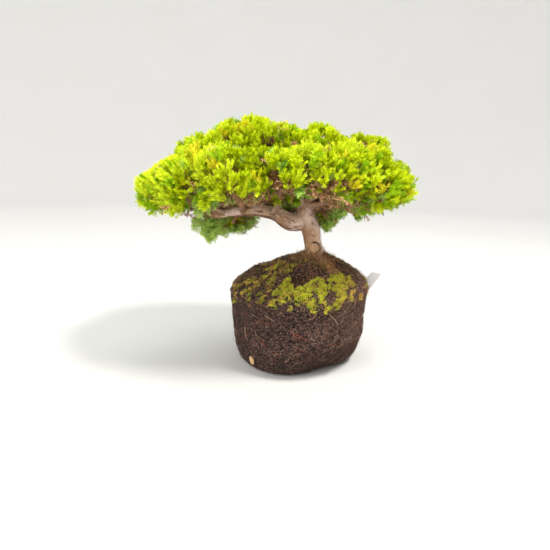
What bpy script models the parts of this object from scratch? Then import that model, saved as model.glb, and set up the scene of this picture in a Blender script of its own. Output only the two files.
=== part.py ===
"""A juniper bonsai that stands on its bare root ball, with its plant label.

Metres, +Z up. The origin is the centre of the root ball's flat underside, and
the side that faces -Y is the one the tree is shown from. The trunk leans left
out of the mound of compost, a long bough runs left from its fork, the leader
ends in a short cut stub, and thin boughs carry the pads of foliage.
"""

import math
import random

import bmesh
import bpy
from mathutils import Matrix, Vector, noise

GAP = 0.0003
WELD = 0.00002

# Root ball: the cast of a tapered round pot
BASE_RADIUS = 0.060
WAIST_RADIUS = 0.079
WAIST_HEIGHT = 0.027
RIM_RADIUS = 0.086
RIM_HEIGHT = 0.092
SHOULDER = 0.014
MOUND_HEIGHT = 0.131
BALL_SIDES = 36
BALL_LUMP = 0.0022
LUMPS_PER_METRE = 32
GRAINS_PER_METRE = 90
MOUND_SHIFT = Vector((0.016, 0.010, 0.0))
FRONT_TILT = 0.085
SIDE_TILT = 0.040
TILT_FROM = 0.051
HOLLOW_AT = Vector((0.000, -0.040, 0.0))
HOLLOW_DEPTH = 0.011
HOLLOW_WIDTH = 0.011
CHIP_ANGLE = math.radians(-58)
CHIP_SPREAD = math.radians(38)
CHIP_DEPTH = 0.025
CHIP_HEIGHT = 0.042

# Trunk and long left bough: x, y, z and radius of each station, in metres
TRUNK = [
    (0.0195, 0.006, 0.110, 0.0165),
    (0.0190, 0.006, 0.122, 0.0140),
    (0.0180, 0.005, 0.133, 0.0116),
    (0.0150, 0.005, 0.150, 0.0104),
    (0.0110, 0.004, 0.166, 0.0103),
    (0.0040, 0.004, 0.181, 0.0100),
    (0.0020, 0.005, 0.192, 0.0082),
    (0.0040, 0.005, 0.203, 0.0062),
]
LEFT_BOUGH = [
    (0.0060, 0.004, 0.1745, 0.0086),
    (-0.0060, 0.004, 0.1715, 0.0098),
    (-0.0170, 0.003, 0.1730, 0.0100),
    (-0.0290, 0.002, 0.1800, 0.0080),
    (-0.0430, 0.000, 0.1848, 0.0076),
    (-0.0600, -0.001, 0.1855, 0.0068),
    (-0.0800, -0.003, 0.1828, 0.0054),
    (-0.1040, -0.005, 0.1790, 0.0040),
]
STEPS_PER_STATION = 2
ROUND_SIDES = 2
THIN_SIDES = 1

# Surface roots: direction over the mound in degrees, length and radius
ROOT_FLARES = [(-62, 0.034, 0.0052), (15, 0.026, 0.0044), (172, 0.028, 0.0046), (95, 0.022, 0.0040)]
ROOT_STATIONS = [(0.0, 0.0065, 1.30), (0.25, 0.0030, 1.05), (0.5, 0.0012, 0.85), (0.75, 0.0, 0.65)]
ROOT_END = (1.0, -0.0025, 0.40)
SCAR_AT = Vector((0.0172, -0.0040, 0.1430))
SCAR_AXIS = Vector((-0.30, -0.95, 0.10))
SCAR_RADIUS = 0.0056
SCAR_LENGTH = 0.0130

# Pads of foliage: centre and reach along X, Y and Z
PADS = {
    "left_tip": ((-0.160, -0.008, 0.209), (0.037, 0.042, 0.029)),
    "left_front": ((-0.124, -0.060, 0.218), (0.042, 0.040, 0.031)),
    "left_shoulder": ((-0.117, -0.004, 0.241), (0.040, 0.044, 0.034)),
    "left_back": ((-0.122, 0.050, 0.222), (0.044, 0.042, 0.034)),
    "left_crown": ((-0.074, 0.004, 0.260), (0.040, 0.046, 0.038)),
    "front_left": ((-0.076, -0.080, 0.225), (0.042, 0.042, 0.033)),
    "front_centre": ((-0.024, -0.086, 0.224), (0.042, 0.040, 0.033)),
    "top_centre": ((-0.030, -0.008, 0.253), (0.042, 0.048, 0.036)),
    "front_top": ((0.024, -0.076, 0.228), (0.040, 0.040, 0.033)),
    "top_right": ((0.016, 0.010, 0.254), (0.040, 0.048, 0.036)),
    "right_upper": ((0.063, -0.004, 0.246), (0.044, 0.048, 0.036)),
    "front_right": ((0.072, -0.058, 0.222), (0.040, 0.040, 0.032)),
    "right_tip": ((0.096, 0.004, 0.219), (0.033, 0.042, 0.030)),
    "right_back": ((0.074, 0.057, 0.226), (0.042, 0.042, 0.035)),
    "back_right": ((0.025, 0.071, 0.230), (0.042, 0.042, 0.036)),
    "back_centre": ((-0.028, 0.074, 0.231), (0.042, 0.042, 0.036)),
    "back_left": ((-0.078, 0.068, 0.230), (0.042, 0.042, 0.036)),
    "hanging_left": ((-0.092, 0.018, 0.163), (0.041, 0.026, 0.021)),
    "inner_left": ((-0.024, 0.036, 0.199), (0.022, 0.018, 0.013)),
    "trunk_sprig": ((0.033, 0.020, 0.182), (0.016, 0.014, 0.017)),
    "right_low": ((0.058, 0.008, 0.194), (0.030, 0.024, 0.013)),
}
SHADED_PADS = ("hanging_left", "inner_left", "trunk_sprig", "right_low")
CORE_SHARE = 0.60
CORE_LUMP = 0.22
CORE_LUMPS_ROUND = 2.1
CORE_MARGIN = 0.08
CORE_SMALLEST = 0.2
SHOOT_MARGIN = 0.015
ENTRY_SHARE = 0.50
TWIG_COUNT = 12
LOWEST_TWIG = -0.62
HANGING_TWIG = -0.95
STEM_STRAIGHT = 0.004
STEM_TAPER = (0.95, 0.70)
FULL_REACH = 0.030
BEDDED_SHARE = 0.95

# A shoot is a slim core of needles, with some needles standing out of it
SHOOT_LENGTH = 0.024
SHOOT_RADIUS = 0.0050
SHOOTS_ON_TWIG = 2
SHOOT_SPREAD = math.radians(36)
SHOOT_SMALLEST = 0.62
SHOOT_STEP = 0.6
TIP_SHARES = (0.92, 1.0)
TWIG_RADIUS = 0.0018
TWIG_FORK = 0.5
TWIG_SUNK = 0.3
SHOWN_TWIG = 0.85
UPTURN = 0.55

# Thin boughs: limb that it grows from, share along that limb, the pad it
# carries, and its radius at the root
BOUGHS = [
    ("bough_left_outer", "left", 0.98, "left_tip", 0.0034),
    ("bough_left_front", "left", 0.90, "left_front", 0.0030),
    ("bough_left_shoulder", "left", 0.84, "left_shoulder", 0.0030),
    ("bough_left_back", "left", 0.94, "left_back", 0.0030),
    ("bough_left_crown", "left", 0.64, "left_crown", 0.0036),
    ("bough_front_left", "left", 0.76, "front_left", 0.0032),
    ("bough_front_centre", "left", 0.50, "front_centre", 0.0030),
    ("bough_hanging", "left", 0.70, "hanging_left", 0.0030),
    ("bough_top_centre", "trunk", 0.97, "top_centre", 0.0036),
    ("bough_front_top", "trunk", 0.92, "front_top", 0.0030),
    ("bough_top_right", "trunk", 0.99, "top_right", 0.0034),
    ("bough_right_upper", "trunk", 0.94, "right_upper", 0.0036),
    ("bough_front_right", "trunk", 0.86, "front_right", 0.0032),
    ("bough_right_tip", "trunk", 0.88, "right_tip", 0.0034),
    ("bough_right_back", "trunk", 0.91, "right_back", 0.0034),
    ("bough_back_right", "trunk", 0.95, "back_right", 0.0032),
    ("bough_back_centre", "trunk", 0.89, "back_centre", 0.0034),
    ("bough_back_left", "left", 0.68, "back_left", 0.0034),
    ("bough_inner_left", "trunk", 0.78, "inner_left", 0.0024),
    ("bough_sprig", "trunk", 0.60, "trunk_sprig", 0.0020),
    ("bough_right_low", "trunk", 0.82, "right_low", 0.0026),
]
TIP_SHARE = 0.60
BOUGH_STEPS = 6
BEND_SHARE = 0.58
BEND_RISE = 0.20
ENTRY_BELOW = 0.45
BOUGH_WAVE = 0.0022
WAVE_TURN = 7.0

# Moss pads on the mound: compass angle, spread and radii in plan
MOSS = {
    "moss_front": (math.radians(-76), math.radians(39), 0.050, 0.088),
    "moss_left": (math.radians(-143), math.radians(21), 0.040, 0.078),
}
MOSS_THICKNESS = 0.0028

# Plant label pushed into the flank
LABEL_ROOT = Vector((0.084, 0.016, 0.086))
LABEL_ALONG = Vector((0.60, 0.60, 0.53)).normalized()
LABEL_ACROSS = Vector((1.0, -1.0, 0.0)).normalized()
LABEL_SHOWING = 0.033
LABEL_SUNK = 0.026
LABEL_WIDTH = 0.015
LABEL_THICKNESS = 0.0008
LABEL_CORNER = 0.002

SEED = 11


def material(name, colour, roughness):
    made = bpy.data.materials.new(name)
    made.use_nodes = True
    shader = made.node_tree.nodes["Principled BSDF"]
    shader.inputs["Base Color"].default_value = (*colour, 1.0)
    shader.inputs["Roughness"].default_value = roughness
    shader.inputs["Metallic"].default_value = 0.0
    return made


def paint(obj, finish):
    obj.data.materials.clear()
    obj.data.materials.append(finish)


def new_object(name, mesh, collection):
    made = bpy.data.objects.new(name, mesh)
    collection.objects.link(made)
    return made


def helper(obj):
    """Marks a cutter or a piece that is about to be joined."""
    obj.hide_render = True
    obj.display_type = "WIRE"
    return obj


def evaluated_mesh(obj):
    bpy.context.view_layer.update()
    graph = bpy.context.evaluated_depsgraph_get()
    return bpy.data.meshes.new_from_object(obj.evaluated_get(graph))


def weld(mesh):
    work = bmesh.new()
    work.from_mesh(mesh)
    bmesh.ops.remove_doubles(work, verts=work.verts, dist=WELD)
    bmesh.ops.recalc_face_normals(work, faces=work.faces)
    work.to_mesh(mesh)
    work.free()


def keep_largest(mesh):
    """Drops loose scraps and fills sealed hollows: one outer skin stays."""
    work = bmesh.new()
    work.from_mesh(mesh)
    bmesh.ops.triangulate(work, faces=work.faces)
    left = set(work.faces)
    skins = []
    while left:
        queue = [left.pop()]
        skin = set(queue)
        while queue:
            for edge in queue.pop().edges:
                near = edge.link_faces if len(edge.link_faces) == 2 else ()
                for face in near:
                    if face not in skin:
                        skin.add(face)
                        queue.append(face)
        left -= skin
        skins.append(skin)
    skins.sort(key=len)
    scraps = [face for skin in skins[:-1] for face in skin]
    bmesh.ops.delete(work, geom=scraps, context="FACES")
    work.to_mesh(mesh)
    work.free()


def combine(target, others, operation):
    """Joins or cuts target with the other objects, applies it and removes them."""
    group = bpy.data.collections.new("operands")
    bpy.context.scene.collection.children.link(group)
    for other in others:
        for holder in list(other.users_collection):
            holder.objects.unlink(other)
        group.objects.link(helper(other))
    step = target.modifiers.new("combine", "BOOLEAN")
    step.operation = operation
    step.operand_type = "COLLECTION"
    step.collection = group
    step.solver = "EXACT"
    result = evaluated_mesh(target)
    target.modifiers.clear()
    target.data = result
    for other in others:
        bpy.data.objects.remove(other)
    bpy.data.collections.remove(group)


def smooth_route(stations):
    """Catmull-Rom stations between the given ones, radius included."""
    points = [Vector(s) for s in stations]
    ends = [2 * points[0] - points[1]] + points + [2 * points[-1] - points[-2]]
    route = []
    for i in range(1, len(ends) - 2):
        a, b, c, d = ends[i - 1 : i + 3]
        for k in range(STEPS_PER_STATION):
            t = k / STEPS_PER_STATION
            route.append(
                0.5
                * (
                    2 * b
                    + (c - a) * t
                    + (2 * a - 5 * b + 4 * c - d) * t**2
                    + (3 * b - a - 3 * c + d) * t**3
                )
            )
    return route + [points[-1]]


def tube(name, route, collection, sides=ROUND_SIDES, swell=0.0):
    """A tapered limb along (x, y, z, radius) points, as a closed mesh object."""
    curve = bpy.data.curves.new(name + "_line", "CURVE")
    curve.dimensions = "3D"
    curve.bevel_depth = 1.0
    curve.bevel_resolution = sides
    curve.use_fill_caps = True
    spline = curve.splines.new("POLY")
    spline.points.add(len(route) - 1)
    for point, (x, y, z, radius) in zip(spline.points, route):
        point.co = (x, y, z, 1.0)
        point.radius = radius + swell
    line = bpy.data.objects.new(name + "_line", curve)
    collection.objects.link(line)
    mesh = evaluated_mesh(line)
    bpy.data.objects.remove(line)
    weld(mesh)
    mesh.shade_smooth()
    return new_object(name, mesh, collection)


def swollen_cutter(route, scratch, sides=ROUND_SIDES):
    """The same limb, a clearance gap fatter and longer at both ends."""
    first, second = Vector(route[0][:3]), Vector(route[1][:3])
    last, before = Vector(route[-1][:3]), Vector(route[-2][:3])
    start = first + (first - second).normalized() * GAP
    end = last + (last - before).normalized() * GAP
    longer = [(*start, route[0][3]), *route[1:-1], (*end, route[-1][3])]
    return tube("cutter", longer, scratch, sides, swell=GAP)


def point_on(route, share):
    return route[min(len(route) - 1, round(share * (len(route) - 1)))]


# Root ball


def ball_profile():
    """Radius and height from the middle of the underside to the mound's top."""
    profile = [(BASE_RADIUS * share, 0.0) for share in (0.0, 0.5, 1.0)]
    for k in (1, 2, 3):
        turn = math.pi / 2 * k / 3
        profile.append(
            (
                BASE_RADIUS + (WAIST_RADIUS - BASE_RADIUS) * math.sin(turn),
                WAIST_HEIGHT * (1 - math.cos(turn)),
            )
        )
    for k in (1, 2, 3):
        share = k / 3
        profile.append(
            (
                WAIST_RADIUS + (RIM_RADIUS - WAIST_RADIUS) * share,
                WAIST_HEIGHT + (RIM_HEIGHT - WAIST_HEIGHT) * share,
            )
        )
    for k in (1, 2, 3):
        turn = math.pi / 2 * k / 3
        profile.append(
            (
                RIM_RADIUS - SHOULDER * (1 - math.cos(turn)),
                RIM_HEIGHT + SHOULDER * math.sin(turn),
            )
        )
    inner = RIM_RADIUS - SHOULDER
    low = RIM_HEIGHT + SHOULDER
    for k in range(1, 7):
        share = k / 6
        lift = math.sin(math.pi / 2 * share)
        profile.append((inner * (1 - share), low + (MOUND_HEIGHT - low) * lift))
    return profile


def angle_between(a, b):
    return abs((a - b + math.pi) % (2 * math.pi) - math.pi)


def shaped(point):
    """Moves a point of the plain turned ball to where the real lump has it."""
    x, y, z = point
    radius = math.hypot(x, y)
    angle = math.atan2(y, x)
    spot = Vector((x, y, z))
    chip = math.exp(-((angle_between(angle, CHIP_ANGLE) / CHIP_SPREAD) ** 2))
    chip *= max(0.0, 1 - z / CHIP_HEIGHT) * CHIP_DEPTH * radius / WAIST_RADIUS
    if z < 1e-6:
        scale = 1 - chip / max(radius, 0.02)
        return Vector((x * scale, y * scale, 0.0))
    lump = noise.noise(spot * LUMPS_PER_METRE) + 0.4 * noise.noise(spot * GRAINS_PER_METRE)
    lump *= BALL_LUMP
    scale = 1 + (lump - chip) / max(radius, 0.02)
    above = min(1.0, max(0.0, (z - TILT_FROM) / (MOUND_HEIGHT - TILT_FROM)))
    lean = max(0.0, (z - RIM_HEIGHT) / (MOUND_HEIGHT - RIM_HEIGHT))
    made = Vector((x * scale, y * scale, z + lump)) + MOUND_SHIFT * lean
    ease = above * above * (3 - 2 * above)
    made.z += (FRONT_TILT * made.y + SIDE_TILT * made.x) * (1 - 0.65 * lean) * ease
    if z > RIM_HEIGHT:
        away = (made.xy - HOLLOW_AT.xy).length / HOLLOW_WIDTH
        made.z -= HOLLOW_DEPTH * math.exp(-(away**2))
    return made


def build_ball(collection):
    work = bmesh.new()
    line = [work.verts.new((radius, 0.0, height)) for radius, height in ball_profile()]
    edges = [work.edges.new(pair) for pair in zip(line, line[1:])]
    bmesh.ops.spin(
        work,
        geom=line + edges,
        cent=(0, 0, 0),
        axis=(0, 0, 1),
        angle=2 * math.pi,
        steps=BALL_SIDES,
        use_merge=True,
    )
    bmesh.ops.remove_doubles(work, verts=work.verts, dist=WELD)
    bmesh.ops.recalc_face_normals(work, faces=work.faces)
    for vert in work.verts:
        vert.co = shaped(vert.co)
    mesh = bpy.data.meshes.new("root_ball")
    work.to_mesh(mesh)
    work.free()
    return new_object("root_ball", mesh, collection)


def build_moss(name, ball, collection):
    """A thin pad of moss: a patch of the mound, lifted clear and thickened."""
    middle, spread, inner, outer = MOSS[name]
    work = bmesh.new()
    work.from_mesh(ball.data)
    bmesh.ops.recalc_face_normals(work, faces=work.faces)
    drop = []
    for face in work.faces:
        spot = face.calc_center_median()
        radius = math.hypot(spot.x, spot.y)
        angle = math.atan2(spot.y, spot.x)
        inside = (
            inner < radius < outer
            and spot.z > RIM_HEIGHT - 0.004
            and face.normal.z > 0.25
            and angle_between(angle, middle) < spread
        )
        if not inside:
            drop.append(face)
    bmesh.ops.delete(work, geom=drop, context="FACES")
    for vert in work.verts:
        vert.co += vert.normal * (2 * GAP)
    mesh = bpy.data.meshes.new(name)
    work.to_mesh(mesh)
    work.free()
    made = new_object(name, mesh, collection)
    skin = made.modifiers.new("thickness", "SOLIDIFY")
    skin.thickness = MOSS_THICKNESS
    skin.offset = 1.0
    return made


# Trunk and boughs


def ground_under(ball, x, y):
    """Height of the mound at a place seen from above."""
    hit, spot, _, _ = ball.ray_cast(Vector((x, y, 0.3)), Vector((0, 0, -1)))
    return spot.z if hit else RIM_HEIGHT


def root_route(ball, turn_deg, length, radius):
    """One surface root, from inside the trunk's foot out over the mound."""
    turn = math.radians(turn_deg)
    foot = Vector(TRUNK[2][:3])
    out = Vector((math.cos(turn), math.sin(turn), 0.0))
    route = []
    for share, lift, width in ROOT_STATIONS + [ROOT_END]:
        spot = foot + out * (0.005 + length * share)
        ground = ground_under(ball, spot.x, spot.y)
        route.append((spot.x, spot.y, ground + lift, radius * width))
    return route


def build_trunk(ball, collection, scratch, finish):
    route = [tuple(p) for p in smooth_route(TRUNK)]
    trunk = tube("trunk", route, collection)
    flares = [root_route(ball, *flare) for flare in ROOT_FLARES]
    bpy.ops.mesh.primitive_cylinder_add(
        vertices=12,
        radius=SCAR_RADIUS,
        depth=SCAR_LENGTH,
        location=SCAR_AT,
        rotation=SCAR_AXIS.to_track_quat("Z", "Y").to_euler(),
    )
    scar = bpy.context.object
    roots = [tube("flare", line, scratch, THIN_SIDES) for line in flares]
    combine(trunk, roots + [scar], "UNION")
    paint(trunk, finish)
    return route, flares


def bed_trunk(soft, trunk_route, flare_routes, scratch):
    """Cuts the trunk's socket and the beds of its surface roots."""
    cutters = [swollen_cutter(trunk_route, scratch)]
    cutters += [swollen_cutter(line, scratch, THIN_SIDES) for line in flare_routes]
    combine(soft, cutters, "DIFFERENCE")
    keep_largest(soft.data)


def build_left_bough(collection, scratch, finish, trunk_route):
    route = [tuple(p) for p in smooth_route(LEFT_BOUGH)]
    bough = tube("bough_left", route, collection)
    combine(bough, [swollen_cutter(trunk_route, scratch)], "DIFFERENCE")
    keep_largest(bough.data)
    paint(bough, finish)
    return route


def bough_route(name, start, pad, radius):
    """Out from the parent limb, low at first, then up into the pad."""
    centre, reach = map(Vector, PADS[pad])
    begin = Vector(start[:3])
    back = Vector([(b - c) / r for b, c, r in zip(begin, centre, reach)]).normalized()
    if pad not in SHADED_PADS:
        back.z = min(back.z, -ENTRY_BELOW)
        back.normalize()
    end = centre + Vector([b * r * ENTRY_SHARE for b, r in zip(back, reach)])
    bend = begin.lerp(end, BEND_SHARE)
    bend.z = begin.z + BEND_RISE * (end.z - begin.z)
    phase = random.Random(name).uniform(0, 2 * math.pi)
    route = []
    for k in range(BOUGH_STEPS + 1):
        t = k / BOUGH_STEPS
        spot = begin * (1 - t) ** 2 + bend * 2 * t * (1 - t) + end * t**2
        wave = BOUGH_WAVE * math.sin(math.pi * t)
        turn = phase + WAVE_TURN * t
        spot += Vector((math.cos(turn), math.sin(turn), 0.5 * math.sin(turn + 1))) * wave
        route.append((*spot, radius * (1 - (1 - TIP_SHARE) * t)))
    return route


def build_boughs(collection, scratch, finish, limbs):
    routes = {}
    for name, parent, share, pad, radius in BOUGHS:
        route = bough_route(name, point_on(limbs[parent], share), pad, radius)
        bough = tube(name, route, collection, THIN_SIDES)
        cutters = [swollen_cutter(line, scratch) for line in limbs.values()]
        cutters += [swollen_cutter(line, scratch, THIN_SIDES) for line in routes.values()]
        combine(bough, cutters, "DIFFERENCE")
        keep_largest(bough.data)
        paint(bough, finish)
        routes[name] = route
    return routes


# Foliage


def scaled_distance(point, pad):
    centre, reach = PADS[pad]
    return math.sqrt(sum(((p - c) / r) ** 2 for p, c, r in zip(point, centre, reach)))


def own_space(point, pad, margin):
    """True where the point is nearer to this pad than to any other pad."""
    here = scaled_distance(point, pad) * (1 + margin)
    return all(here < scaled_distance(point, other) for other in PADS if other != pad)


def clear_of_limbs(points, radius, lines):
    for point in points:
        for line in lines:
            for a, b in zip(line, line[1:]):
                start, end = Vector(a[:3]), Vector(b[:3])
                along = end - start
                t = max(0.0, min(1.0, (point - start).dot(along) / along.length_squared))
                if (point - start - along * t).length < radius + max(a[3], b[3]) + GAP * 3:
                    return False
    return True


def closed_shape(name, rings, tip):
    """Triangles between rings of points, given from the base up to the tip."""
    work = bmesh.new()
    base, *_ = made = [[work.verts.new(spot) for spot in ring] for ring in rings]
    point = work.verts.new(tip)
    work.faces.new(base[::-1])
    for k in range(3):
        step = (k + 1) % 3
        if len(made[1]) == 3:
            outer, after = made[1][k], made[1][step]
            work.faces.new((base[k], base[step], outer))
            work.faces.new((base[step], after, outer))
            work.faces.new((outer, after, point))
            continue
        outer, inner, after = [made[1][(2 * k + n) % 6] for n in range(3)]
        work.faces.new((base[k], inner, outer))
        work.faces.new((base[k], base[step], inner))
        work.faces.new((base[step], after, inner))
        work.faces.new((outer, inner, point))
        work.faces.new((inner, after, point))
    bmesh.ops.recalc_face_normals(work, faces=work.faces)
    mesh = bpy.data.meshes.new(name)
    work.to_mesh(mesh)
    work.free()
    return mesh


def ring(count, turn, inner, outer):
    """Points round +Z that go in turn to an outer and an inner height and radius."""
    for k in range(count):
        height, radius = outer if k % 2 == 0 or count == 3 else inner
        angle = turn + 2 * math.pi * k / count
        yield radius * math.cos(angle), radius * math.sin(angle), height


def shoot_meshes():
    """A leading shoot with three needles out of its slim core, and a side bud."""
    base = (0.0, 0.42)
    leader = [ring(3, 0.25, base, base), ring(6, 0, (0.36, 0.50), (0.66, 1.0))]
    bud = [ring(3, 0.25, base, base), ring(3, 1.3, (0.58, 0.92), (0.58, 0.92))]
    return [closed_shape("leader", leader, (0, 0, 1)), closed_shape("bud", bud, (0, 0, 1))]


def core_object(pad, collection):
    """The dense middle of a pad, drawn in wherever it would leave its space."""
    centre, reach = map(Vector, PADS[pad])
    work = bmesh.new()
    bmesh.ops.create_icosphere(work, subdivisions=2, radius=1.0)
    for vert in work.verts:
        way = vert.co.normalized()
        lump = noise.noise(way * CORE_LUMPS_ROUND + centre * 40)
        share = CORE_SHARE * (1 + CORE_LUMP * lump)
        spot = centre + way * reach * share
        while share > CORE_SMALLEST and not own_space(spot, pad, CORE_MARGIN):
            share -= 0.02
            spot = centre + way * reach * share
        vert.co = spot
    mesh = bpy.data.meshes.new("foliage_" + pad)
    work.to_mesh(mesh)
    work.free()
    return new_object("foliage_" + pad, mesh, collection)


def twig_directions(count, lowest, rng):
    """Even directions over the part of a ball above a lowest height."""
    golden = math.pi * (3 - math.sqrt(5))
    phase = rng.uniform(0, 2 * math.pi)
    for k in range(count):
        height = 1 - (1 - lowest) * (k + 0.5) / count
        flat = math.sqrt(max(0.0, 1 - height * height))
        turn = phase + golden * k + rng.uniform(-0.2, 0.2)
        yield Vector((flat * math.cos(turn), flat * math.sin(turn), height))


def place_shoot(mesh, root, way, size, scratch):
    shoot = bpy.data.objects.new("shoot", mesh)
    scratch.objects.link(shoot)
    facing = way.to_track_quat("Z", "Y").to_matrix().to_4x4()
    scale = Matrix.Diagonal((size * SHOOT_RADIUS, size * SHOOT_RADIUS, size * SHOOT_LENGTH, 1))
    shoot.matrix_world = Matrix.Translation(root) @ facing @ scale
    return shoot


def shoot_places(pad, lines):
    """Where the pad's shoots go: kind, fork, root, heading and size of each."""
    centre, reach = map(Vector, PADS[pad])
    rng = random.Random(f"{SEED}-{pad}")
    shaded = pad in SHADED_PADS
    size = max(SHOOT_SMALLEST, min(1.0, min(reach) / FULL_REACH))
    length, radius = SHOOT_LENGTH * size, SHOOT_RADIUS * size
    count = round(TWIG_COUNT * size * size)
    for way in twig_directions(count, HANGING_TWIG if shaded else LOWEST_TWIG, rng):
        out = way * reach
        heading = (out.normalized() + Vector((0, 0, 0 if shaded else UPTURN))).normalized()
        side = heading.orthogonal().normalized()
        side = Matrix.Rotation(rng.uniform(0, 2 * math.pi), 3, heading) @ side
        fork = centre + out * TWIG_FORK
        for k in range(SHOOTS_ON_TWIG):
            lean = SHOOT_SPREAD * k
            grow = (heading * math.cos(lean) + side * math.sin(lean)).normalized()
            end = centre + out * rng.uniform(*TIP_SHARES) + side * k * SHOOT_STEP * length
            while scaled_distance(end, pad) > 1.0:
                end = end.lerp(centre, 0.03)
            root = end - grow * length
            points = [root.lerp(end, s) for s in (0.56, 1.0)]
            round_it = [side * radius, grow.cross(side) * radius]
            near = [p + q * s for p in points for q in round_it for s in (1, -1)]
            if not all(own_space(p, pad, SHOOT_MARGIN) for p in points + near):
                continue
            if not clear_of_limbs(points + [root, root.lerp(end, 0.28)], radius, lines):
                continue
            if clear_of_limbs([fork, fork.lerp(root, 0.5), root], TWIG_RADIUS, lines):
                yield k, fork, root, grow, size


def build_pad(pad, bough_line, other_lines, meshes, collection, scratch, finish):
    """One mass: stem, core, twigs that fork, and shoots on the twigs."""
    centre, reach = map(Vector, PADS[pad])
    tip, before = Vector(bough_line[-1][:3]), Vector(bough_line[-2][:3])
    along = (tip - before).normalized()
    radius = bough_line[-1][3]
    start = tip + along * GAP
    bend = start + along * STEM_STRAIGHT
    near_end, far_end = [radius * share for share in STEM_TAPER]
    stem = [(*start, radius), (*bend, near_end), (*centre, far_end)]
    parts = [tube("stem", stem, scratch, THIN_SIDES)]
    lines = other_lines + [bough_line]
    for kind, fork, root, grow, size in shoot_places(pad, lines):
        parts.append(place_shoot(meshes[kind], root, grow, size, scratch))
        if scaled_distance(root, pad) > SHOWN_TWIG * CORE_SHARE:
            sunk = root + grow * TWIG_SUNK * SHOOT_LENGTH * size
            twig = [(*centre, TWIG_RADIUS), (*fork, TWIG_RADIUS), (*sunk, TWIG_RADIUS)]
            parts.append(tube("twig", twig, scratch, 0))
    mass = core_object(pad, collection)
    near = []
    for line in lines:
        if any(scaled_distance(p[:3], pad) < BEDDED_SHARE for p in line):
            near.append(line)
    if near:
        cutters = [swollen_cutter(line, scratch, THIN_SIDES) for line in near]
        combine(mass, cutters, "DIFFERENCE")
        keep_largest(mass.data)
    combine(mass, parts, "UNION")
    keep_largest(mass.data)
    paint(mass, finish)


# Plant label


def label_plate(thickness, width, length, scratch):
    """A flat strip with rounded corners, lying along its own axis."""
    curve = bpy.data.curves.new("label_outline", "CURVE")
    curve.dimensions = "2D"
    curve.fill_mode = "BOTH"
    curve.extrude = thickness / 2
    spline = curve.splines.new("POLY")
    corners = []
    for sx, sy, start in ((1, 1, 0), (-1, 1, 90), (-1, -1, 180), (1, -1, 270)):
        for k in range(4):
            turn = math.radians(start + 30 * k)
            corners.append(
                (
                    sx * (width / 2 - LABEL_CORNER) + LABEL_CORNER * math.cos(turn),
                    sy * (length / 2 - LABEL_CORNER) + LABEL_CORNER * math.sin(turn),
                )
            )
    spline.points.add(len(corners) - 1)
    for point, (x, y) in zip(spline.points, corners):
        point.co = (x, y, 0, 1)
    spline.use_cyclic_u = True
    flat = bpy.data.objects.new("label_outline", curve)
    scratch.objects.link(flat)
    mesh = evaluated_mesh(flat)
    bpy.data.objects.remove(flat)
    weld(mesh)
    face = LABEL_ACROSS.cross(LABEL_ALONG)
    turned = Matrix((LABEL_ACROSS, LABEL_ALONG, face)).transposed().to_4x4()
    middle = LABEL_ROOT + LABEL_ALONG * (LABEL_SHOWING - LABEL_SUNK) / 2
    mesh.transform(Matrix.Translation(middle) @ turned)
    return mesh


def build_label(ball, collection, scratch, finish):
    length = LABEL_SHOWING + LABEL_SUNK
    mesh = label_plate(LABEL_THICKNESS, LABEL_WIDTH, length, scratch)
    paint(new_object("plant_label", mesh, collection), finish)
    slot = label_plate(
        LABEL_THICKNESS + 2 * GAP, LABEL_WIDTH + 2 * GAP, length + 2 * GAP, scratch
    )
    combine(ball, [new_object("slot", slot, scratch)], "DIFFERENCE")


def build():
    for old in list(bpy.data.objects):
        bpy.data.objects.remove(old)
    model = bpy.data.collections.new("juniper_bonsai")
    scratch = bpy.data.collections.new("helpers")
    for group in (model, scratch):
        bpy.context.scene.collection.children.link(group)

    compost = material("compost", (0.085, 0.048, 0.036), 0.95)
    bark = material("bark", (0.30, 0.19, 0.13), 0.85)
    needles = material("needles", (0.38, 0.50, 0.02), 0.55)
    shaded = material("shaded_needles", (0.13, 0.22, 0.05), 0.6)
    moss = material("moss", (0.30, 0.27, 0.03), 0.9)
    plastic = material("label_plastic", (0.75, 0.72, 0.73), 0.35)

    ball = build_ball(model)
    mosses = [build_moss(name, ball, model) for name in MOSS]
    trunk_line, flare_lines = build_trunk(ball, model, scratch, bark)
    for soft, finish in [(ball, compost)] + [(pad, moss) for pad in mosses]:
        bed_trunk(soft, trunk_line, flare_lines, scratch)
        paint(soft, finish)
    build_label(ball, model, scratch, plastic)

    left_line = build_left_bough(model, scratch, bark, trunk_line)
    limbs = {"trunk": trunk_line, "left": left_line}
    boughs = build_boughs(model, scratch, bark, limbs)
    meshes = shoot_meshes()
    for name, _, _, pad, _ in BOUGHS:
        others = list(limbs.values()) + [boughs[b] for b in boughs if b != name]
        finish = shaded if pad in SHADED_PADS else needles
        build_pad(pad, boughs[name], others, meshes, model, scratch, finish)
    bpy.data.collections.remove(scratch)


build()
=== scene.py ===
import math
import random

import bpy
import numpy as np
from mathutils import Matrix, Vector, noise


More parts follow.
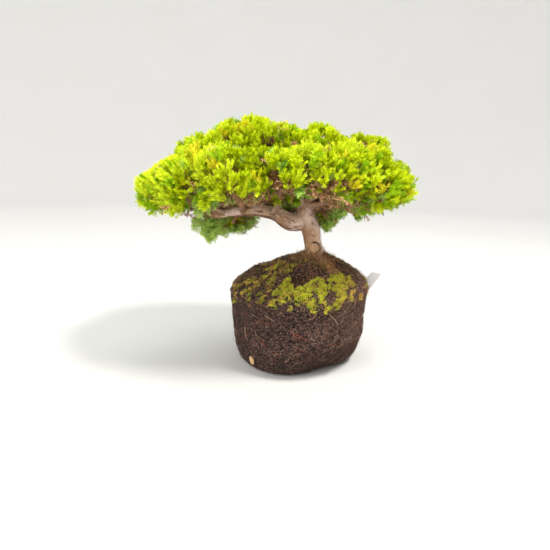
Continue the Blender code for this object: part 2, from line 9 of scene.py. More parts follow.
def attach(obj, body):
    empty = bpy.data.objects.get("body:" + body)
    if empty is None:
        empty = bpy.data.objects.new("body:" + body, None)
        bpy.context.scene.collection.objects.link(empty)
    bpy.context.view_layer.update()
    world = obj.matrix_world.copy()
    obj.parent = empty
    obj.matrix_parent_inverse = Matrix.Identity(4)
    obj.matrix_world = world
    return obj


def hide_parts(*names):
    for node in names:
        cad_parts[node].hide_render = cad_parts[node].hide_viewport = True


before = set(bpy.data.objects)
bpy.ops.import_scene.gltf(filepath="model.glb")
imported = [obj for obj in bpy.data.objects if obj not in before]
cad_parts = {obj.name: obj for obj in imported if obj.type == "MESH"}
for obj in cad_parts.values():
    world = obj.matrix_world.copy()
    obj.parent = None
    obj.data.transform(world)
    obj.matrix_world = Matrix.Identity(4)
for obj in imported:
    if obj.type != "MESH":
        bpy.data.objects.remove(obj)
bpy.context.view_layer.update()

# The view: a plain camera half a metre in front of the tree, level with the
# crown and looking down 14 degrees at the root ball.
EYE = Vector((-0.029, -0.519, 0.2345))
studio = bpy.context.scene
studio.view_settings.view_transform = "Standard"
lens = bpy.data.cameras.new("view")
lens.sensor_width = 36
lens.lens = 28.145
lens.shift_x = -1 / 550
lens.clip_start = 0.01
camera = bpy.data.objects.new("view", lens)
studio.collection.objects.link(camera)
camera.matrix_world = (
    Matrix.Translation(EYE)
    @ Matrix.Rotation(math.pi / 2 - math.radians(13.93), 4, "X")
    @ Matrix.Rotation(math.radians(1.62), 4, "Z")
)
studio.camera = camera

# The studio: a pale room, a large soft lamp high on the right, a broad fill on
# the left and a soft lamp over the crown.
LAMPS = [
    ("key", (0.60, -0.40, 1.40), (-0.03, 0, 0.18), 0.36, 30, (1.0, 0.98, 0.92)),
    ("fill", (-1.0, -1.15, 1.0), (-0.04, 0, 0.15), 1.2, 27, (1.0, 0.99, 0.96)),
    ("over", (-0.1, 0.35, 1.4), (-0.02, 0, 0.2), 0.9, 10, (1.0, 1.0, 0.96)),
]
room = bpy.data.worlds.new("room")
studio.world = room
room.use_nodes = True
room.node_tree.nodes["Background"].inputs["Color"].default_value = (1.0, 0.99, 0.97, 1)
room.node_tree.nodes["Background"].inputs["Strength"].default_value = 0.80
for name, spot, towards, across, watts, tint in LAMPS:
    light = bpy.data.lights.new(name, "AREA")
    light.shape = "DISK"
    light.size = across
    light.energy = watts
    light.color = tint
    lamp = bpy.data.objects.new(name, light)
    studio.collection.objects.link(lamp)
    lamp.location = spot
    lamp.rotation_euler = (Vector(spot) - Vector(towards)).to_track_quat("Z", "Y").to_euler()

# The floor and its backdrop are one pale dish, flat under the tree and swept up
# all round it, a little paler where the lamps don't reach.
FLAT_RADIUS = 2.3
SWEEP_RADIUS = 1.4
WALL_TOP = 3.6
DISH_SIDES = 96


def math_node(operation, reflected=False):
    """An operator of a Reading, which adds one Math node."""

    def operator(self, other):
        pair = (other, self) if reflected else (self, other)
        settings = {"operation": operation}
        return self.finish.node("ShaderNodeMath", settings, dict(enumerate(pair)))

    return operator


class Reading:
    """A value that varies over a surface. Sums on it become Math nodes."""

    def __init__(self, finish, socket):
        self.finish = finish
        self.socket = socket

    __add__, __radd__ = math_node("ADD"), math_node("ADD", True)
    __sub__, __rsub__ = math_node("SUBTRACT"), math_node("SUBTRACT", True)
    __mul__, __rmul__ = math_node("MULTIPLY"), math_node("MULTIPLY", True)


class Finish:
    """A material: one Principled shader and the nodes that feed it."""

    def __init__(self, name, roughness, **plain):
        self.material = bpy.data.materials.new(name)
        self.material.use_nodes = True
        self.tree = self.material.node_tree
        self.shader = self.tree.nodes["Principled BSDF"]
        self.shader.inputs["Roughness"].default_value = roughness
        for socket, value in plain.items():
            self.shader.inputs[socket.replace("_", " ")].default_value = value

    def node(self, kind, settings, sockets, output=0):
        made = self.tree.nodes.new(kind)
        for setting, value in settings.items():
            setattr(made, setting, value)
        for socket, value in sockets.items():
            if isinstance(value, Reading):
                self.tree.links.new(value.socket, made.inputs[socket])
            else:
                made.inputs[socket].default_value = value
        return Reading(self, made.outputs[output])

    def place(self):
        return self.node("ShaderNodeTexCoord", {}, {}, "Object")

    def marked(self, name, output="Fac"):
        """A value kept for each point of the mesh."""
        return self.node("ShaderNodeAttribute", {"attribute_name": name}, {}, output)

    def vector(self, operation, *vectors, output=0):
        sockets = dict(enumerate(vectors))
        return self.node("ShaderNodeVectorMath", {"operation": operation}, sockets, output)

    def grain(self, place, scale, detail=3, roughness=0.5):
        sockets = {"Vector": place, "Scale": scale, "Detail": detail, "Roughness": roughness}
        return self.node("ShaderNodeTexNoise", {}, sockets)

    def between(self, value, low, high):
        """0 below low, 1 above high."""
        sockets = {"Value": value, "From Min": low, "From Max": high}
        return self.node("ShaderNodeMapRange", {"clamp": True}, sockets)

    def tint(self, share, first, second):
        pair = [(*c, 1) if isinstance(c, tuple) else c for c in (first, second)]
        sockets = {0: share, 6: pair[0], 7: pair[1]}
        return self.node("ShaderNodeMix", {"data_type": "RGBA"}, sockets, 2)

    def feed(self, socket, value):
        self.tree.links.new(value.socket, self.shader.inputs[socket])

    def relief(self, height, depth, strength):
        sockets = {"Height": height, "Distance": depth, "Strength": strength}
        self.feed("Normal", self.node("ShaderNodeBump", {}, sockets))


pale_floor = Finish("pale_floor", 0.8)
spot = pale_floor.place()
away = pale_floor.vector("LENGTH", spot, output="Value")
cloud = pale_floor.grain(spot, 3.0)
near_tint = pale_floor.tint(cloud, (0.50, 0.50, 0.49), (0.53, 0.53, 0.53))
far_tint = pale_floor.tint(cloud, (0.84, 0.84, 0.83), (0.87, 0.87, 0.87))
far = pale_floor.between(away, 0.5, 2.0)
pale_floor.feed("Base Color", pale_floor.tint(far, near_tint, far_tint))


def grid_faces(rows, columns, closed):
    """Quads of a grid of points in rows, the last column joined to the first if closed."""
    row, column = np.mgrid[0 : rows - 1, 0 : columns - (0 if closed else 1)]
    after = (column + 1) % columns
    quads = [row * columns + column, row * columns + after]
    quads += [(row + 1) * columns + after, (row + 1) * columns + column]
    return np.stack(quads, -1).reshape(-1, 4)


dish = [(0.001, 0.0), (FLAT_RADIUS, 0.0)]
for turn in np.linspace(0.1, math.pi / 2, 16):
    dish.append((FLAT_RADIUS + SWEEP_RADIUS * math.sin(turn), SWEEP_RADIUS * (1 - math.cos(turn))))
dish.append((FLAT_RADIUS + SWEEP_RADIUS, WALL_TOP))
around = [2 * math.pi * k / DISH_SIDES for k in range(DISH_SIDES)]
dish_corners = [(r * math.cos(turn), r * math.sin(turn), z) for r, z in dish for turn in around]
floor_mesh = bpy.data.meshes.new("floor")
floor_mesh.from_pydata(dish_corners, [], grid_faces(len(dish), DISH_SIDES, True).tolist())
floor_mesh.shade_smooth()
floor = bpy.data.objects.new("floor", floor_mesh)
studio.collection.objects.link(floor)
floor_mesh.materials.append(pale_floor.material)

# The root ball: damp peat compost bound by roots, the cast of a tapered round
# pot with rounded shoulders. It is lumpy, heaped towards the trunk, with a
# dark hollow in front of it and a piece broken from the foot at the right.
BASE_RADIUS = 0.060
WAIST_RADIUS = 0.079
WAIST_HEIGHT = 0.027
RIM_RADIUS = 0.086
RIM_HEIGHT = 0.092
SHOULDER = 0.014
MOUND_HEIGHT = 0.131
BALL_LUMP = 0.0022
MOUND_SHIFT = Vector((0.016, 0.010, 0.0))
FRONT_TILT = 0.085
SIDE_TILT = 0.040
RIM_DRAWN_IN = 0.0026
TILT_FROM = 0.051
HOLLOW_AT = Vector((0.000, -0.040, 0.0))
HOLLOW_DEPTH = 0.011
HOLLOW_WIDTH = 0.011
CHIP_ANGLE = math.radians(-58)
CHIP_SPREAD = math.radians(38)
CHIP_DEPTH = 0.025
CHIP_HEIGHT = 0.042
RISE_STEPS = 250
TURN_STEPS = 390


def resampled(line, places, run=None):
    """Points of a line at the given places along it."""
    run = np.arange(len(line)) if run is None else run
    return np.stack([np.interp(places, run, column) for column in line.T], 1)


def ball_profile():
    """Radius and height at even steps from the underside's middle to the top."""
    turns = np.linspace(0, math.pi / 2, 40)
    low = RIM_HEIGHT + SHOULDER
    share = np.linspace(0, 0.985, 60)
    radius = [np.linspace(0.001, BASE_RADIUS, 20)]
    radius.append(BASE_RADIUS + (WAIST_RADIUS - BASE_RADIUS) * np.sin(turns))
    radius.append(RIM_RADIUS - SHOULDER * (1 - np.cos(turns)))
    radius.append((RIM_RADIUS - SHOULDER) * (1 - share))
    height = [np.zeros(20), WAIST_HEIGHT * (1 - np.cos(turns))]
    height.append(RIM_HEIGHT + SHOULDER * np.sin(turns))
    height.append(low + (MOUND_HEIGHT - low) * np.sin(np.pi / 2 * share))
    line = np.stack([np.concatenate(radius), np.concatenate(height)], 1)
    run = np.concatenate([[0], np.cumsum(np.linalg.norm(np.diff(line, axis=0), axis=1))])
    return resampled(line, np.linspace(0, run[-1], RISE_STEPS), run)


def shaped(x, y, z):
    """Moves a point of the plain turned ball to where the real lump has it."""
    radius = math.hypot(x, y)
    spot = Vector((x, y, z))
    from_chip = abs((math.atan2(y, x) - CHIP_ANGLE + math.pi) % (2 * math.pi) - math.pi)
    chip = math.exp(-((from_chip / CHIP_SPREAD) ** 2))
    chip *= max(0.0, 1 - z / CHIP_HEIGHT) * CHIP_DEPTH * radius / WAIST_RADIUS
    if z < 1e-6:
        scale = 1 - chip / max(radius, 0.02)
        return Vector((x * scale, y * scale, 0.0))
    lump = BALL_LUMP * (noise.noise(spot * 32) + 0.4 * noise.noise(spot * 90))
    scale = 1 + (lump - chip) / max(radius, 0.02)
    above = min(1.0, max(0.0, (z - TILT_FROM) / (MOUND_HEIGHT - TILT_FROM)))
    lean = max(0.0, (z - RIM_HEIGHT) / (MOUND_HEIGHT - RIM_HEIGHT))
    made = Vector((x * scale, y * scale, z + lump)) + MOUND_SHIFT * lean
    ease = above * above * (3 - 2 * above)
    made.z += (FRONT_TILT * made.y + SIDE_TILT * made.x) * (1 - 0.65 * lean) * ease
    drawn_in = RIM_DRAWN_IN * min(1.0, max(0.0, (z - 0.045) / 0.040)) * min(1.0, radius / 0.07)
    made.x -= drawn_in * (x / max(radius, 0.001) + 0.25)
    made.y -= drawn_in * y / max(radius, 0.001)
    if z > RIM_HEIGHT:
        away = (made.xy - HOLLOW_AT.xy).length / HOLLOW_WIDTH
        made.z -= HOLLOW_DEPTH * math.exp(-(away**2))
    return made


def unit(vectors):
    return vectors / np.maximum(np.linalg.norm(vectors, axis=-1, keepdims=True), 1e-12)


def noise_at(points, per_metre, offset=0.0):
    """Smooth noise, -1 to 1, at each of many points."""
    flat = points.reshape(-1, 3) * per_metre + offset
    return np.array([noise.noise(Vector(p)) for p in flat]).reshape(points.shape[:-1])


profile = ball_profile()
ball_turns = np.linspace(0, 2 * math.pi, TURN_STEPS, endpoint=False)
skin = np.array(
    [[shaped(r * math.cos(t), r * math.sin(t), z) for t in ball_turns] for r, z in profile]
)
skin[..., 2] = np.maximum(skin[..., 2], 0.0)
next_to = (np.roll(skin, -1, 1) - np.roll(skin, 1, 1)) / 2
skin_out = unit(np.cross(next_to, np.gradient(skin, axis=0)))
crumbs = 1.3 * noise_at(skin, 230) + 1.5 * np.abs(noise_at(skin, 420, 7.0))
crumbs += 0.9 * noise_at(skin, 800, 3.0) - 0.8
rough_skin = skin + skin_out * (0.001 * crumbs * np.clip(skin[..., 2] / 0.005, 0, 1))[..., None]


def dressed(mesh, finishes, replaced):
    """Gives a piece its finishes and says which body and nodes it belongs to."""
    for finish in finishes:
        mesh.materials.append(finish.material)
    piece = bpy.data.objects.new(mesh.name, mesh)
    studio.collection.objects.link(piece)
    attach(piece, "root")
    if replaced:
        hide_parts(*replaced)


def new_piece(name, corners, faces, finishes, shades=None, smooth=True, replaced=()):
    """A piece from arrays of corners and of faces, each with its finish by number."""
    mesh = bpy.data.meshes.new(name)
    mesh.vertices.add(len(corners))
    mesh.vertices.foreach_set("co", np.asarray(corners, np.float32).ravel())
    mesh.loops.add(faces.size)
    mesh.loops.foreach_set("vertex_index", faces.astype(np.int32).ravel())
    mesh.polygons.add(len(faces))
    starts = np.arange(0, faces.size, faces.shape[1], dtype=np.int32)
    mesh.polygons.foreach_set("loop_start", starts)
    mesh.update(calc_edges=True)
    mesh.polygons.foreach_set("use_smooth", np.full(len(faces), smooth))
    dressed(mesh, finishes, replaced)
    if shades is not None:
        mesh.polygons.foreach_set("material_index", shades.astype(np.int32))
    return mesh


def mark(mesh, name, values):
    """Keeps a number or a place for each point of a mesh, for its material to read."""
    values = np.asarray(values, np.float32)
    kind, field = ("FLOAT_VECTOR", "vector") if values.ndim == 2 else ("FLOAT", "value")
    mesh.attributes.new(name, kind, "POINT").data.foreach_set(field, values.ravel())


def in_hollow(points):
    """1 in the middle of the dark hollow in front of the trunk, 0 away from it."""
    away = np.hypot(points[..., 0] - HOLLOW_AT.x, (points[..., 1] - HOLLOW_AT.y) * 1.2)
    return np.exp(-((away / (HOLLOW_WIDTH * 1.15)) ** 2)) * (points[..., 2] > 0.08)


def colour(red, green, blue):
    """A colour as it is read off a picture, 0 to 255, made linear."""
    shares = [v / 255 for v in (red, green, blue)]
    return tuple(s / 12.92 if s <= 0.04045 else ((s + 0.055) / 1.055) ** 2.4 for s in shares)


compost = Finish("compost", 0.95, Specular_IOR_Level=0.25)
spot = compost.place()
matted = compost.grain(compost.vector("MULTIPLY", spot, (1, 1, 1.7)), 300, 6, 0.72)
patchy = compost.grain(spot, 30, 3)
flecks = compost.grain(spot, 760, 2)
to_right = compost.vector("DOT_PRODUCT", spot, (1, 0, 0), output="Value")
earth = compost.tint(compost.between(patchy, 0.38, 0.62), colour(42, 29, 26), colour(76, 53, 46))
# Painted highlight on the crests and painted shade in the pits of the matted grain, painted shade
# between the sunk crumbs, pale flecks, painted light on the right flank, which faces the key lamp,
# painted shade on the left one and painted shade in the hollow, each over the last: what it
# follows, where, how much and its colour
for value, low, high, share, shade in [
    (matted, 0.53, 0.62, 1, (122, 88, 76)),
    (matted, 0.49, 0.42, 1, (18, 13, 12)),
    (compost.marked("crumb"), 0.35, 0.0, 0.8, (20, 15, 13)),
    (flecks, 0.63, 0.68, 1, (176, 150, 136)),
    (to_right, 0.01, 0.09, 0.22, (134, 98, 84)),
    (to_right, -0.02, -0.09, 0.45, (30, 21, 19)),
    (compost.marked("hollow"), 0.2, 0.75, 0.8, (36, 21, 16)),
]:
    earth = compost.tint(compost.between(value, low, high) * share, earth, colour(*shade))
compost.feed("Base Color", earth)
compost.relief(matted, 0.0014, 0.9)
ball_mesh = new_piece(
    "root_ball_skin",
    rough_skin.reshape(-1, 3),
    grid_faces(RISE_STEPS, TURN_STEPS, True),
    [compost],
    replaced=["root_ball"],
)
mark(ball_mesh, "crumb", np.clip(crumbs.ravel() * 0.45 + 0.5, 0, 1))
mark(ball_mesh, "hollow", in_hollow(skin).ravel())

# The roots that bind the ball: thousands of fine brown ones matted over its
# side, some tan or reddish, wisps that stand off its edges and short hairs.
SIDE_FIBRES = 2300
WISPS = 1500
HAIRS = 15000
FIBRE_POINTS = 9
FULL_TURN = 2 * math.pi
RUN = float(np.linalg.norm(np.diff(profile, axis=0), axis=1).sum())
ROOT_TINTS = {
    "dark_root": (42, 29, 25),
    "brown_root": (92, 65, 54),
    "tan_root": (158, 124, 104),
    "red_root": (128, 62, 44),
}


def on_ball(turn, rise, lift=0.0):
    """Places on the ball's skin: turn in radians, rise 0 to 1 up its outline."""
    row = np.clip(rise, 0, 0.999) * (RISE_STEPS - 1)
    column = (turn / FULL_TURN % 1.0) * TURN_STEPS
    r0, c0 = row.astype(int), column.astype(int) % TURN_STEPS
    r1, c1 = np.minimum(r0 + 1, RISE_STEPS - 1), (c0 + 1) % TURN_STEPS
    fr, fc = (row - r0)[..., None], (column - column.astype(int))[..., None]

    def blend(grid):
        low = grid[r0, c0] * (1 - fc) + grid[r0, c1] * fc
        high = grid[r1, c0] * (1 - fc) + grid[r1, c1] * fc
        return low * (1 - fr) + high * fr

    return blend(skin) + blend(skin_out) * np.asarray(lift)[..., None]


def out_of_ball(turn, rise):
    return unit(on_ball(turn, rise, 0.001) - on_ball(turn, rise))


def rise_at(height):
    """How far up the ball's outline a height on its side lies."""
    side = profile[: int(RISE_STEPS * 0.75)]
    return float(np.interp(height, side[:, 1], np.arange(len(side)))) / (RISE_STEPS - 1)


def tubes(lines, widths, sides, facing=None, flat=1.0):
    """Corners and faces of many thin tubes. lines is (tube, point, xyz)."""
    along = unit(np.gradient(lines, axis=1))
    if facing is None:
        middle = unit(along.mean(axis=1, keepdims=True))
        facing = np.where(np.abs(middle[..., 2:]) > 0.8, [1.0, 0.0, 0.0], [0.0, 0.0, 1.0])
        facing = np.broadcast_to(facing, lines.shape)
    across = unit(np.cross(along, facing))
    over = np.cross(across, along)
    turns = FULL_TURN * np.arange(sides) / sides + math.pi / sides
    ring = across[:, :, None] * np.cos(turns)[:, None]
    ring = ring + over[:, :, None] * np.sin(turns)[:, None] * flat
    corners = lines[:, :, None] + ring * widths[:, :, None, None]
    count, points = lines.shape[:2]
    one = grid_faces(points, sides, True)[:, ::-1]
    faces = one[None] + (np.arange(count) * points * sides)[:, None, None]
    return corners.reshape(-1, 3), faces.reshape(-1, 4), len(one)


def wander(rng, count, turn, rise, heading, length, lift, bend):
    """Lines that stray over the ball's skin from given starts."""
    step = length / (FIBRE_POINTS - 1)
    lines = []
    for k in range(FIBRE_POINTS):
        rise_now = np.clip(rise, 0.02, 0.985)
        radius = np.interp(rise_now * (RISE_STEPS - 1), np.arange(RISE_STEPS), profile[:, 0])
        lines.append(on_ball(turn, rise_now, lift * np.sin(math.pi * (k + 0.4) / FIBRE_POINTS)))
        heading = heading + rng.normal(0, bend, count)
        turn = turn + np.cos(heading) * step / np.maximum(radius, 0.01)
        rise = rise + np.sin(heading) * step / RUN
    return np.stack(lines, 1)


def spikes(roots, tips, widths):
    """Corners and faces of many three-sided spikes, open where they're sunk in."""
    along = unit(tips - roots)
    upright = np.abs(along[:, 2:]) > 0.8
    across = unit(np.cross(along, np.where(upright, [1.0, 0.0, 0.0], [0.0, 0.0, 1.0])))
    over = np.cross(along, across)
    turns = FULL_TURN * np.arange(3) / 3
    ring = [roots + (across * math.cos(t) + over * math.sin(t)) * widths[:, None] for t in turns]
    corners = np.stack([*ring, tips], 1).reshape(-1, 3)
    one = np.array([(0, 1, 3), (1, 2, 3), (2, 0, 3)])
    faces = one[None] + (4 * np.arange(len(roots)))[:, None, None]
    return corners, faces.reshape(-1, 3)


root_rng = np.random.default_rng(31)
root_finishes = []
for name, tint in ROOT_TINTS.items():
    root = Finish(name, 0.8)
    streak = root.grain(root.place(), 300, 2)
    dark, pale = (tuple(share * c for c in colour(*tint)) for share in (0.55, 1.3))
    root.feed("Base Color", root.tint(streak, dark, pale))
    root_finishes.append(root)

turn = root_rng.uniform(0, FULL_TURN, SIDE_FIBRES)
rise = root_rng.uniform(rise_at(0.001), 0.73, SIDE_FIBRES)
heading = root_rng.normal(0.2, 0.9, SIDE_FIBRES) + math.pi * root_rng.integers(0, 2, SIDE_FIBRES)
length = root_rng.uniform(0.006, 0.022, SIDE_FIBRES)
lift = root_rng.uniform(0.0002, 0.0014, SIDE_FIBRES)
lines = wander(root_rng, SIDE_FIBRES, turn, rise, heading, length, lift, 0.6)
lines[..., 2] = np.maximum(lines[..., 2], 0.0003)
thick = root_rng.uniform(0.00014, 0.00034, SIDE_FIBRES)[:, None]
corners, faces, each = tubes(lines, thick * np.linspace(1.0, 0.35, FIBRE_POINTS), 3)
shades = np.repeat(root_rng.choice(4, SIDE_FIBRES, p=[0.45, 0.41, 0.10, 0.04]), each)
new_piece("matted_roots", corners, faces, root_finishes, shades)

turn = root_rng.uniform(0, FULL_TURN, WISPS)
rise = root_rng.uniform(0.27, 0.93, WISPS)
start = on_ball(turn, rise, -0.0008)
drift = unit(out_of_ball(turn, rise) * 0.6 + root_rng.normal(0, 0.6, (WISPS, 3)))
reach = (0.0018 + 0.0055 * root_rng.random(WISPS) ** 3)[:, None]
curl = root_rng.normal(0, 0.5, (WISPS, 3))
shares = np.linspace(0, 1, 5)[None, :, None]
lines = start[:, None] + (drift * reach)[:, None] * shares + (curl * reach)[:, None] * shares**2
lines[..., 2] = np.maximum(lines[..., 2], 0.0003)
corners, faces, each = tubes(lines, np.full((WISPS, 5), 0.00016) * np.linspace(1, 0.5, 5), 3)
shades = np.repeat(root_rng.choice(4, WISPS, p=[0.35, 0.42, 0.15, 0.08]), each)
new_piece("root_wisps", corners, faces, root_finishes, shades)

turn = root_rng.uniform(0, FULL_TURN, HAIRS)
rise = root_rng.uniform(rise_at(0.002), 0.80, HAIRS)
foot = on_ball(turn, rise, root_rng.uniform(-0.0002, 0.0008, HAIRS))
out = out_of_ball(turn, rise)
way = root_rng.normal(0, 1, (HAIRS, 3))
way = way - out * (way * out).sum(1, keepdims=True)
way = unit(way + out * root_rng.uniform(0.0, 0.9, (HAIRS, 1)))
tip = foot + way * (0.0011 + 0.0026 * root_rng.random((HAIRS, 1)) ** 2)
tip[:, 2] = np.maximum(tip[:, 2], 0.0002)
corners, faces = spikes(foot, tip, root_rng.uniform(0.00013, 0.00028, HAIRS))
# painted light: paler on the right flank, which faces the key lamp; painted shade: darker on the
# left one
flank_light_rng = np.random.default_rng(32)
right_flank_light = 0.34 * np.clip((foot[:, 0] - 0.01) / 0.07, 0, 1)
left_flank_shade = 0.55 * np.clip((-0.02 - foot[:, 0]) / 0.06, 0, 1)
shade = root_rng.choice(4, HAIRS, p=[0.46, 0.34, 0.16, 0.04])
shade = np.where((shade < 2) & (flank_light_rng.random(HAIRS) < right_flank_light), shade + 1, shade)
shades = np.repeat(np.where((shade < 3) & (flank_light_rng.random(HAIRS) < left_flank_shade), 0, shade), 3)
new_piece("root_hairs", corners, faces, root_finishes, shades, smooth=False)

# The roots that catch the eye: two red forked ones low on the front and tan
# ones along the rim. Each has its turn in degrees, height, heading, length,
# thickness and finish.
SHOWN_ROOTS = np.array([
    (-98, 0.066, -1.15, 0.017, 0.00052, 3),
    (-97, 0.063, -0.35, 0.021, 0.00045, 3),
    (-121, 0.050, -1.05, 0.012, 0.00045, 3),
    (-84, 0.038, 2.7, 0.018, 0.00035, 3),
    (-70, 0.046, 0.1, 0.016, 0.0003, 3),
    (-118, 0.080, -0.25, 0.014, 0.0005, 2),
    (-84, 0.080, 0.5, 0.013, 0.0005, 2),
    (-128, 0.070, 0.05, 0.024, 0.0004, 3),
    (-60, 0.070, 2.4, 0.022, 0.0005, 2),
    (-140, 0.056, -1.2, 0.018, 0.0006, 2),
    (20, 0.060, 0.9, 0.024, 0.0007, 3),
    (75, 0.050, 0.2, 0.026, 0.0006, 2),
    (140, 0.070, -0.6, 0.024, 0.0007, 3),
    (190, 0.045, 0.4, 0.026, 0.0006, 2),
])
turn, height, heading, length, thick, shade = SHOWN_ROOTS.T
rise = np.array([rise_at(h) for h in height])
lift = thick + 0.0012
lines = wander(root_rng, len(turn), np.radians(turn), rise, heading, length, lift, 0.16)
corners, faces, each = tubes(lines, thick[:, None] * np.linspace(1.0, 0.4, FIBRE_POINTS), 6)
shades = np.repeat(shade, each)
new_piece("shown_roots", corners, faces, root_finishes, shades)

# A tan chip of wood caught in the foot of the ball, at the front left. It is
# built up of rings: height, half width and half depth in millimetres.
CHIP_TURN = -134
CHIP_RINGS = [(-4.6, 0.4, 0.3), (-3.6, 1.9, 1.0), (-1.2, 2.8, 1.5)]
CHIP_RINGS += [(1.4, 2.5, 1.6), (3.4, 1.6, 1.0), (4.4, 0.3, 0.2)]
CHIP_SIDES = 14
CHIP_SCALE = 0.0012
chip_wood = Finish("chip_wood", 0.7)
streak = chip_wood.grain(chip_wood.vector("MULTIPLY", chip_wood.place(), (1, 1, 0.2)), 900)
chip_tints = colour(150, 112, 70), colour(214, 180, 128)
chip_wood.feed("Base Color", chip_wood.tint(streak, *chip_tints))
rows = []
for height, wide, deep in CHIP_RINGS:
    for turn in np.linspace(0, FULL_TURN, CHIP_SIDES, endpoint=False):
        uneven = 1 + 0.18 * noise.noise(Vector((math.cos(turn), math.sin(turn), height)))
        rows.append((wide * math.cos(turn) * uneven, deep * math.sin(turn) * uneven, height))
chip_spot = Vector(on_ball(np.radians([CHIP_TURN]), np.array([rise_at(0.017)]), 0.001)[0])
chip_turned = Matrix.Rotation(math.radians(CHIP_TURN + 90), 3, "Z")
chip_turned = chip_turned @ Matrix.Rotation(-0.5, 3, "Y")
corners = np.array([chip_spot + chip_turned @ (Vector(p) * CHIP_SCALE) for p in rows])
chip_faces = grid_faces(len(CHIP_RINGS), CHIP_SIDES, True)
new_piece("wood_chip", corners, chip_faces, [chip_wood])

# The moss on the mound: clumps of short blades, bright yellow-green along the
# front and over its edge, browned at its right end, duller on the left, with
# bare gaps. Each patch has its number of clumps and how often each tint comes.
MOSS = {
    "moss_front": (690, [0.42, 0.14, 0.23, 0.14, 0.07]),
    "moss_left": (170, [0.05, 0.15, 0.24, 0.32, 0.24]),
    "mound": (120, [0.0, 0.10, 0.10, 0.42, 0.38]),
}
# The middle and spread of a patch round the ball, how near the ball's middle it
# comes, and how ragged it is
MOSS_PLACES = {
    "moss_front": (math.radians(-76), math.radians(39), 0.056, -0.24),
    "moss_left": (math.radians(-143), math.radians(21), 0.040, 0.05),
}
TUFTS_IN_CLUMP = 12
BLADES = 5
BLADE_WIDTH = 0.00027
MOSS_TINTS = {
    "bright_moss": (218, 220, 54),
    "yellow_moss": (226, 186, 92),
    "green_moss": (158, 172, 28),
    "olive_moss": (92, 80, 34),
    "dead_moss": (142, 96, 60),
}


def plain_finishes(tints, roughness, **plain):
    """One plain base colour each, to be dealt out over a piece."""
    made = []
    for name, tint in tints.items():
        made.append(Finish(name, roughness, Base_Color=(*colour(*tint), 1), **plain))
    return made


moss_finishes = plain_finishes(MOSS_TINTS, 0.85)
moss_rng = np.random.default_rng(52)
top_rows = np.arange(RISE_STEPS)[profile[:, 1] > RIM_HEIGHT - 0.012]
for name, (count, often) in MOSS.items():
    if name == "mound":
        turn = moss_rng.uniform(0, FULL_TURN, count * 3)
        row = moss_rng.uniform(top_rows[0] + 14, top_rows[-1] - 10, count * 3)
    else:
        middle, spread, inner, bare = MOSS_PLACES[name]
        turn = middle + spread * 1.06 * moss_rng.uniform(-1, 1, count * 5)
        row = moss_rng.uniform(top_rows[0], top_rows[-1], count * 5)
    rise = row / (RISE_STEPS - 1)
    place = on_ball(turn, rise)
    ragged = noise_at(place, 95, 5.0) + 0.5 * noise_at(place, 260, 2.0)
    keep = in_hollow(place) < 0.3
    if name == "mound":
        keep &= ragged > 0.10
    else:
        plan = np.interp(rise * (RISE_STEPS - 1), np.arange(RISE_STEPS), profile[:, 0])
        keep &= (plan > inner - 0.012 * (ragged + 0.2)) & (ragged > bare)
        lower_edge = top_rows[0] + 17 - 26 * ragged + 8 * np.clip(place[:, 0] / 0.03, 0, 1)
        keep &= rise * (RISE_STEPS - 1) > lower_edge
        keep &= (noise_at(place, 330, 17.0) > -0.24) & (noise_at(place, 170, 13.0) > -0.28)
    turn, rise = turn[keep][:count], rise[keep][:count]
    swell = np.repeat(moss_rng.uniform(0.0006, 0.0026, len(turn)), TUFTS_IN_CLUMP)
    apart = moss_rng.normal(0, 1, (len(turn) * TUFTS_IN_CLUMP, 2))
    turn = np.repeat(turn, TUFTS_IN_CLUMP) + apart[:, 0] * 0.015
    rise = np.repeat(rise, TUFTS_IN_CLUMP) + apart[:, 1] * 0.0042
    swell = swell * np.exp(-0.35 * (apart**2).sum(1)) * (0.5 if name == "mound" else 1.0)
    feet = np.repeat(on_ball(turn, rise, swell), BLADES, 0)
    out = np.repeat(out_of_ball(turn, rise) + [0, 0, 0.4], BLADES, 0)
    fan = unit(out + moss_rng.normal(0, 0.6, (len(feet), 3)))
    tall = 0.0009 + 0.0024 * moss_rng.random(len(feet)) ** 1.5
    corners, faces = spikes(feet, feet + fan * tall[:, None], np.full(len(feet), BLADE_WIDTH))
    by_clump = moss_rng.choice(5, len(turn) // TUFTS_IN_CLUMP, p=often)
    by_clump = np.repeat(by_clump, TUFTS_IN_CLUMP * BLADES)
    by_blade = moss_rng.choice(5, len(feet), p=often)
    by_blade = np.where(moss_rng.random(len(feet)) < 0.6, by_clump, by_blade)
    browned = (feet[:, 0] - 0.030) / 0.045 + 0.35 * moss_rng.normal(0, 1, len(feet)) > 0.55
    browned &= name == "moss_front"
    shades = np.repeat(np.where(browned, moss_rng.choice([1, 4], len(feet)), by_blade), 3)
    replaced = [name] if name in MOSS_PLACES else ()
    new_piece(name + "_tufts", corners, faces, moss_finishes, shades, False, replaced)

# The litter on the mound: dead needles, bits of bark and short dry fibres
# dropped between the moss and round the foot of the trunk, an orange tangle
# over the surface root at the front right, and crumbs of bark in the hollow.
LITTER = 5200
FOOT_FIBRES = 1300
ROOT_FIBRES = 420
HOLLOW_BITS = 110
TRUNK_FOOT = np.array([[0.0190], [0.006]])
TANGLE_TURN = math.radians(-62)
LITTER_TINTS = {
    "pale_litter": (190, 150, 106),
    "orange_litter": (196, 128, 76),
    "olive_litter": (122, 108, 56),
    "brown_litter": (116, 78, 54),
    "dark_litter": (58, 40, 31),
}
litter_finishes = plain_finishes(LITTER_TINTS, 0.8)
mound_top = skin[top_rows].reshape(-1, 3)


def ground_under(x, y):
    """Height of the mound at a place seen from above."""
    return mound_top[np.argmin((mound_top[:, 0] - x) ** 2 + (mound_top[:, 1] - y) ** 2), 2]


def on_mound(places, lift):
    """Points on the mound, a little above it, from their places on the plan."""
    ground = np.array([ground_under(x, y) for x, y in places.T])
    return np.stack([*places, ground + lift], 1)


